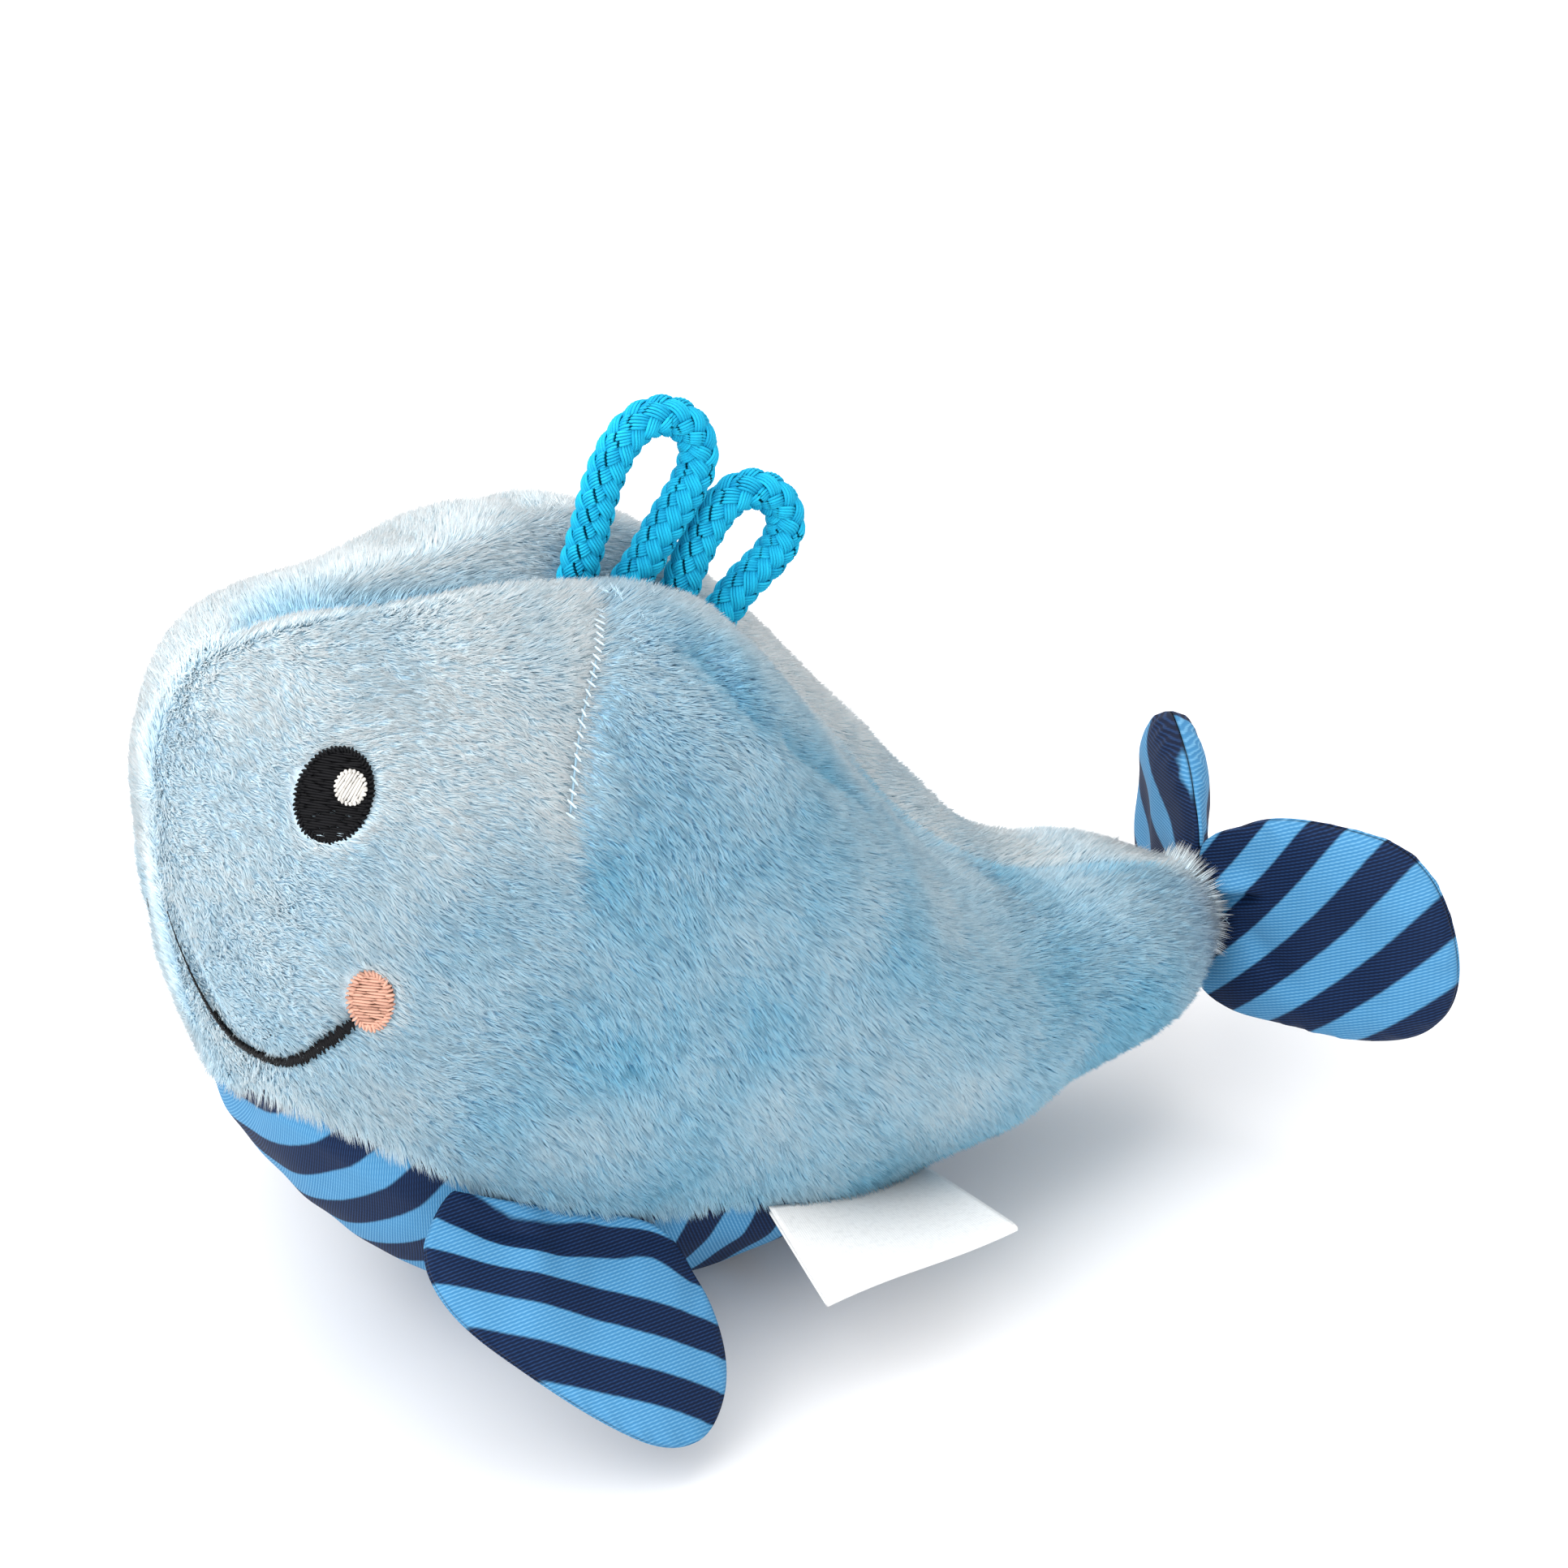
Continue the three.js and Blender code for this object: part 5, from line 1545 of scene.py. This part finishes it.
@dataclass
class SatinPatch:
    """An oval of satin stitch over a pad of the same thread, with an edge of short stitches."""

    name: str
    node: str
    oval: Oval
    side: Side
    slot: str
    depth: float = 0.7  # of its top under the tips of the pile
    pad: float = 1.6
    slant: float = 15 * DEG
    gap: float = 0.3
    thread: float = 0.19
    reach: float = 3.4  # of one stitch
    edge: float = 0.9
    edge_gap: float = 0.5
    seed: int = 3

    def lay(self, flat: Places, depth: Any) -> tuple[Places, Places]:
        """Points of the oval's own plane laid on the left side of the body, and the outward directions."""
        up, aside, centre = BODY.oval_axes(self.oval)
        s, t = BODY.nearest(centre + flat[:, :1] * aside + flat[:, 1:] * up, self.oval.at, self.oval.turn)
        return BODY.under(s, t, depth), BODY.outward(s, t)

    def stitches(self) -> tuple[Places, Places, np.ndarray]:
        """The two ends of every stitch in the oval's plane, and how proud each lies."""
        rng = np.random.default_rng(self.seed)
        c, s = math.cos(self.slant), math.sin(self.slant)
        along, across = np.array([c, s]), np.array([-s, c])
        a, b = self.oval.short - 0.15, self.oval.long - 0.15
        starts, ends, lifts = [], [], []
        for row in np.arange(-b, b, self.gap):
            middle = across * row
            qa = (along[0] / a) ** 2 + (along[1] / b) ** 2
            qb = 2 * (along[0] * middle[0] / a**2 + along[1] * middle[1] / b**2)
            qc = (middle[0] / a) ** 2 + (middle[1] / b) ** 2 - 1
            root = qb * qb - 4 * qa * qc
            if root <= 0:
                continue
            low, high = (-qb - math.sqrt(root)) / (2 * qa), (-qb + math.sqrt(root)) / (2 * qa)
            cuts = [low]
            place = low - rng.uniform(0, self.reach)
            while place + self.reach < high - 0.6:
                place += self.reach
                if place > low + 0.6:
                    cuts.append(place)
            cuts.append(high)
            for first, last in zip(cuts[:-1], cuts[1:]):
                wander = across * rng.normal(0, 0.05)
                starts.append(middle + along * (first - 0.12) + wander)
                ends.append(middle + along * (last + 0.12) - wander)
                lifts.append(0.0)
        turns = np.arange(0, 2 * math.pi, self.edge_gap / (0.5 * (a + b)))
        for turn in turns:
            place = np.array([a * math.cos(turn), b * math.sin(turn)])
            out = np.array([math.cos(turn) / a, math.sin(turn) / b])
            out /= np.linalg.norm(out)
            swing = rng.normal(0.35, 0.2)
            c, s = math.cos(swing), math.sin(swing)
            way = np.array([out[0] * c - out[1] * s, out[0] * s + out[1] * c])
            long = self.edge * rng.uniform(0.8, 1.2)
            starts.append(place - way * long * 0.6)
            ends.append(place + way * long * 0.4)
            lifts.append(0.12)
        return np.array(starts), np.array(ends), np.array(lifts)

    def build(self, stitch: Template, material: bpy.types.Material) -> bpy.types.Object:
        """Makes the patch."""
        starts, ends, lifts = self.stitches()
        a, _ = self.lay(starts, self.depth - lifts)
        b, _ = self.lay(ends, self.depth - lifts)
        middle, normal = self.lay((starts + ends) / 2, self.depth - 0.08 - lifts)
        along = b - a
        aside = unit(np.cross(normal, along))
        rng = np.random.default_rng(self.seed + 1)
        width = self.thread * rng.uniform(0.85, 1.15, len(a))[:, None]
        axes = np.stack([along, aside * width, unit(np.cross(along, aside)) * width], 1)
        # The undersides of the stitches get the deeper colour: painted shade.
        height = 0.5 + 0.5 * stitch.points[:, 2]
        threads = stitch.copied(middle, axes, rng.uniform(0.2, 1, len(a)), height)
        made = Sheet.joined([threads, self.pad_sheet()])
        return sewn(self, made, material)

    def pad_sheet(self) -> Sheet:
        """The underlay that the stitches cover."""
        count, rings = 48, 8
        turn = np.arange(count) / count * 2 * math.pi
        ring = np.linspace(0, 1, rings)
        flat = np.stack([
            (ring[:, None] * np.cos(turn) * (self.oval.short - 0.1)).ravel(),
            (ring[:, None] * np.sin(turn) * (self.oval.long - 0.1)).ravel(),
        ], -1)
        top, _ = self.lay(flat, self.depth + 0.1)
        low, _ = self.lay(flat, self.depth + self.pad)
        flatmap = (flat / (2 * self.oval.long) + 0.5).reshape(rings, count, 2) * 0.02
        top, low = top.reshape(rings, count, 3), low.reshape(rings, count, 3)
        made = shell(top, low, {"OFBake": flatmap}, wrapped=True)
        # The pad, at a low tone and height, takes the thread's darker colour: painted shade between the
        # stitches.
        made.strand = np.full((len(made.points), 3), 0.15)
        return made


@dataclass
class StitchedLine:
    """A line of short stitches across a route on the face."""

    name: str
    node: str
    route: Places  # stations and angles
    side: Side
    slot: str
    depth: float
    gap: float
    reach: float
    slant: float
    thread: float
    taper: float = 1.0  # the first stitches' share of the reach
    buried: float = 0.0  # how much deeper the first stitches lie
    unruly: float = 0.1
    seed: int = 9

    def build(self, stitch: Template, material: bpy.types.Material) -> bpy.types.Object:
        """Makes the line."""
        at, turn = self.route[:, 0], self.route[:, 1] * DEG
        fine = BODY.under(at, turn, self.depth)
        run = arc_length(fine)
        places = np.arange(0, run[-1], self.gap)
        grown = rounded_step(places / run[-1], 0, 0.6)
        depth = self.depth + self.buried * (1 - grown)
        s, t = np.interp(places, run, at), np.interp(places, run, turn)
        middle, normal = BODY.under(s, t, depth), BODY.outward(s, t)
        along = unit(np.stack([np.interp(places, run, np.gradient(fine[:, k])) for k in range(3)], -1))
        across = unit(np.cross(normal, along))
        rng = np.random.default_rng(self.seed)
        swing = self.slant + rng.normal(0, self.unruly, len(places))
        way = across * np.cos(swing)[:, None] + along * np.sin(swing)[:, None]
        reach = self.reach * (self.taper + (1 - self.taper) * grown)
        reach *= rng.uniform(1 - 1.6 * self.unruly, 1 + 1.6 * self.unruly, len(places))
        middle = middle + across * rng.normal(0, 0.04, len(places))[:, None]
        aside = unit(np.cross(normal, way))
        thick = (self.thread * (1 - 0.6 * (1 - self.taper) * (1 - grown)))[:, None]
        axes = np.stack([way * reach[:, None], aside * thick, unit(np.cross(way, aside)) * thick], 1)
        # The undersides of the stitches get the deeper colour: painted shade.
        made = stitch.copied(middle, axes, rng.uniform(0.2, 1, len(places)), 0.5 + 0.5 * stitch.points[:, 2])
        # The core below, at a low tone and no height, takes the thread's darkest colour: painted shade under
        # the stitches.
        core = BODY.under(s, t, depth + 0.35)[len(s) // 3:]
        core = tubes(core[None], self.thread, 6, np.array([0.1]), np.zeros((1, len(core))))
        made = Sheet.joined([made, core])
        return sewn(self, made, material)


@dataclass
class CareLabel:
    """A blank satin ribbon folded in two, its ends sewn into the left belly seam."""

    front: float = 0.56
    back: float = 0.73
    width: float = 25.4
    reach: float = 18.0
    set_back: float = 1.5
    lift: float = 0.4
    twist: float = 4.0
    layer: float = 0.25
    split: float = 0.5
    tuck: float = 1.6
    rows: int = 60
    columns: int = 40

    def build(self, material: bpy.types.Material) -> bpy.types.Object:
        """Makes the ribbon as one folded strip."""
        share = np.linspace(0, 1, self.columns)
        at = self.front + share * (self.back - self.front)
        seam = BODY.belly_seam(at)
        half = self.split / 2 + self.layer / 2
        root = BODY.under(at, seam, -0.3 - self.layer - self.split / 2)
        middle = (self.front + self.back) / 2
        centre = BODY.skin(middle, BODY.belly_seam(middle))
        level = centre[2] + self.lift + (share - 0.5) * self.twist
        behind = root[0, 0] + self.set_back + share * self.width
        fold = np.stack([behind, np.full(len(share), centre[1] - self.reach), level], -1)
        out = unit(fold[len(share) // 2] - root[len(share) // 2])
        normal = unit(np.cross(out, [1.0, 0, 0]))
        normal = normal if normal[2] > 0 else -normal
        span = np.linalg.norm(fold - root, axis=-1).mean()
        run = np.linspace(-span - self.tuck, span + self.tuck, self.rows)
        reach = 1 - np.abs(run) / span
        bend = np.exp(-((run / 1.6) ** 2))
        side = np.tanh(run / 0.6)
        wave = 0.35 * np.sin(share * 5.2 + 0.6)[None] * (reach**2)[:, None] + 0.2 * np.sin(share * 2.6)[None]
        middle_line = root[None] + (fold - root)[None] * (reach - 0.02 * bend)[:, None, None]
        shift = side[:, None] * half + wave
        points = middle_line + normal * shift[..., None]
        faces = []
        for part in (0.5, -0.5):
            thick = normal * (side[:, None, None] * part * self.layer)
            thick = thick + out * (bend[:, None, None] * part * self.layer)
            faces.append(points + thick)
        weave = np.stack(np.broadcast_arrays(share[None] * self.width, run[:, None]), -1)
        maps = {"weave": weave, "OFBake": even_map(self.rows, self.columns)}
        piece = shell(faces[0], faces[1], maps).piece("care_ribbon", material)
        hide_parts("care_label")
        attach(piece, "label")
        2 * (span + self.tuck) * MM
        return piece


@dataclass
class Filling:
    """Fluffy copies of the wadding cores, which the cloths hide."""

    voxel: float = 1.5
    fluff: float = 0.25
    knit_room: float = 1.2

    def under_knit(self, places: Places) -> Places:
        """The places, with those that the sewn body would leave outside moved under its backing."""
        stations, turns = np.linspace(0.01, BODY.end, 150), np.linspace(-math.pi, math.pi, 240)
        at, turn = (part.ravel() for part in np.meshgrid(stations, turns, indexing="ij"))
        depth = DRESSING.backing + self.knit_room
        face, normal = DRESSING.face(at, turn, depth)
        tree = KDTree(len(face))
        for index, point in enumerate(face):
            tree.insert(point, index)
        tree.balance()
        found = np.array([tree.find(place)[1] for place in places])
        proud = ((places - face[found]) * normal[found]).sum(-1)
        return places - normal[found] * np.maximum(proud, 0)[:, None]

    def build(self, node: str, body: str, material: bpy.types.Material) -> bpy.types.Object:
        """Makes one core."""
        source = frame["nodes"][node]
        made = source.copy()
        made.data = source.data.copy()
        made.name = node + "_fibre"
        for key in list(made.keys()):
            del made[key]
        bpy.context.scene.collection.objects.link(made)
        made.parent = None
        made.matrix_world.identity()
        merge_points(made)
        take_up(made)
        remesh = made.modifiers.new("even", "REMESH")
        remesh.mode = "VOXEL"
        remesh.voxel_size = self.voxel * MM
        bpy.ops.object.modifier_apply(modifier=remesh.name)
        mesh = made.data
        places = np.empty(len(mesh.vertices) * 3)
        normals = np.empty(len(mesh.vertices) * 3)
        mesh.vertices.foreach_get("co", places)
        mesh.vertices.foreach_get("normal", normals)
        places, normals = places.reshape(-1, 3), normals.reshape(-1, 3)
        places = places / MM - normals * (self.fluff * (1 + Ripple(3.0, 41).at(places / MM)) / 2)[:, None]
        if node.startswith("stuffing"):
            places = self.under_knit(places)
        mesh.vertices.foreach_set("co", (places * MM).ravel())
        mesh.materials.clear()
        mesh.materials.append(material)
        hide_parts(node)
        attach(made, body)
        return made


@dataclass
class Studio:
    """The camera at the photograph's angle, the pale floor and the soft lights."""

    distance: float = 480.0
    aim: tuple = (0.55, 0.0, 59.52)
    lens: float = 89.44
    sensor: float = 36.0
    room: float = 1.02  # strength of the bright room
    lamps: tuple = (  # name, place in metres, size and power
        ("key", (-0.95, -0.3, 0.8), 1.0, 9.0), ("top", (-0.15, 0.2, 1.2), 1.5, 11.0),
        ("fill", (-0.6, -0.9, 0.5), 1.2, 5.0),
    )

    def camera(self) -> None:
        """Places the camera."""
        back = Vector(view_axes()[0])
        data = bpy.data.cameras.new("camera")
        data.lens, data.sensor_width = self.lens, self.sensor
        data.clip_start, data.clip_end = 0.01, 20.0
        made = bpy.data.objects.new("camera", data)
        made.location = (Vector(self.aim) + back * self.distance) * MM
        made.rotation_euler = back.to_track_quat("Z", "Y").to_euler()
        bpy.context.scene.collection.objects.link(made)
        bpy.context.scene.camera = made

    def floor(self) -> None:
        """A wide floor."""
        clear_selection()
        bpy.ops.mesh.primitive_plane_add(size=6.0, location=(0, 0, -0.0002))
        made = bpy.context.object
        made.name = "studio_floor"
        made.data.materials.append(FloorFinish().material())

    def lights(self) -> None:
        """A large key from the upper left, a top light, a fill from the front and a bright room."""
        world = bpy.data.worlds.new("room")
        world.use_nodes = True
        background = world.node_tree.nodes["Background"]
        background.inputs[0].default_value = (1.0, 1.0, 1.0, 1.0)
        background.inputs[1].default_value = self.room
        bpy.context.scene.world = world
        for lamp in self.lamps:
            self._lamp(*lamp)
        bpy.context.scene.view_settings.view_transform = "Standard"

    @staticmethod
    def _lamp(name: str, place: tuple, size: float, power: float) -> None:
        """One square light that looks at the whale."""
        data = bpy.data.lights.new(name, "AREA")
        data.size, data.energy = size, power
        made = bpy.data.objects.new(name, data)
        made.location = place
        made.rotation_euler = (Vector(place) - Vector((0, 0, 0.05))).to_track_quat("Z", "Y").to_euler()
        bpy.context.scene.collection.objects.link(made)


def main() -> None:
    """Builds the whale from its cords inwards."""
    logging.basicConfig(level=logging.INFO, format="%(message)s")
    studio = Studio()
    studio.camera()
    cord = ThreadFinish("braided_cord", tint(0, 112, 164), tint(34, 184, 220), 0.7).material()
    BraidedLoop("spout_cord_front", "spout_loop_front", "spout_front", FRONT_LOOP).build(cord)
    BraidedLoop("spout_cord_rear", "spout_loop_rear", "spout_rear", REAR_LOOP).build(cord)
    LOG.info("cords")
    twill = TwillFinish().material()
    BellyPanel().build(twill)
    knit, pile = KnitFinish().material(), PileFinish().material()
    fibre, stitch = Template.fibre(), Template.stitch()
    for side in Side:
        plush = PlushSide(side, fibre)
        plush.backing(knit)
        for number in range(len(plush.patches) - 1):
            piece = plush.pile(pile, number)
            LOG.info("%s: %d triangles", piece.name, len(piece.data.polygons))
    black = ThreadFinish("black_thread", tint(1, 1, 2), tint(14, 14, 17)).material()
    white = ThreadFinish("white_thread", tint(120, 117, 112), tint(212, 209, 204)).material()
    pink = ThreadFinish("pink_thread", tint(98, 60, 46), tint(208, 160, 140)).material()
    blue = ThreadFinish("blue_thread", tint(150, 182, 200), tint(206, 224, 234)).material()
    for side in Side:
        end = side.value
        SatinPatch(f"eye_stitches_{end}", f"eye_{end}", EYE, side, "black_thread").build(stitch, black)
        SatinPatch(
            f"shine_stitches_{end}", f"eye_shine_{end}", SHINE, side, "white_thread", depth=0.45, pad=0.3,
            slant=62 * DEG, gap=0.34, reach=5.0, edge=0.5,
        ).build(stitch, white)
        SatinPatch(
            f"cheek_stitches_{end}", f"cheek_{end}", CHEEK, side, "pink_thread", slant=4 * DEG, gap=0.38,
            reach=2.6, edge=1.0,
        ).build(stitch, pink)
        route = MOUTH if side is Side.LEFT else MOUTH[1:]  # the right half starts a little later
        StitchedLine(
            f"mouth_stitches_{end}", f"mouth_{end}", smooth_line(route, 80), side,
            "black_thread", 0.7, 0.2, 1.45, 25 * DEG, 0.17, taper=0.14, buried=-0.25, unruly=0.22,
        ).build(stitch, black)
        StitchedLine(
            f"dart_stitches_{end}", f"dart_thread_{end}", smooth_line(DART, 80), side, "blue_thread", 2.0,
            1.3, 1.3, 35 * DEG, 0.15,
        ).build(stitch, blue)
        Limb(
            f"flipper_{end}", f"flipper_{end}", fin_frame(side), FIN_OUTLINE, 5.6, 2.2, 1,
            (-0.65, -0.027, 0.25, 0.0, 0.0, 0.0), seed=4, warps=FIN_WARPS, folds=FIN_FOLDS,
        ).build(twill)
    Limb(
        "fluke_left", "fluke_left", fluke_frame(Side.LEFT), FLUKE_OUTLINE, 7.6, 2.6, 0,
        (0.466, 0.212, -0.1636, -0.00083, 0.00053, 0.00151), seed=6, crown=4.0, weave_turn=52 * DEG,
        folds=FLUKE_FOLDS,
    ).build(twill)
    narrower = tuple((u, 0.93 * v) for u, v in FLUKE_OUTLINE)
    Limb(
        "fluke_right", "fluke_right", fluke_frame(Side.RIGHT), narrower, 7.6, 2.6, 0,
        (0.69, 0.06, -0.16, 0.0, 0.0, 0.0), seed=6, crown=8.0, weave_turn=22 * DEG, warps=FAR_FLUKE_WARPS,
    ).build(twill)
    LOG.info("embroidery and limbs")
    CareLabel().build(RibbonFinish().material())
    wadding = WaddingFinish().material()
    for side in Side:
        Filling().build(f"stuffing_{side.value}", "body", wadding)
    for limb in ("flipper", "fluke"):
        for side in Side:
            Filling().build(f"{limb}_wadding_{side.value}", f"{limb}_{side.value}", wadding)
    capsule, steel = CapsuleFinish().material(), BallFinish().material()
    for name, node in frame["nodes"].items():
        if name.startswith("rattle_"):
            node.data.materials.clear()
            node.data.materials.append(capsule if "capsule" in name else steel)
    studio.floor()
    studio.lights()


if __name__ == "__main__":
    main()
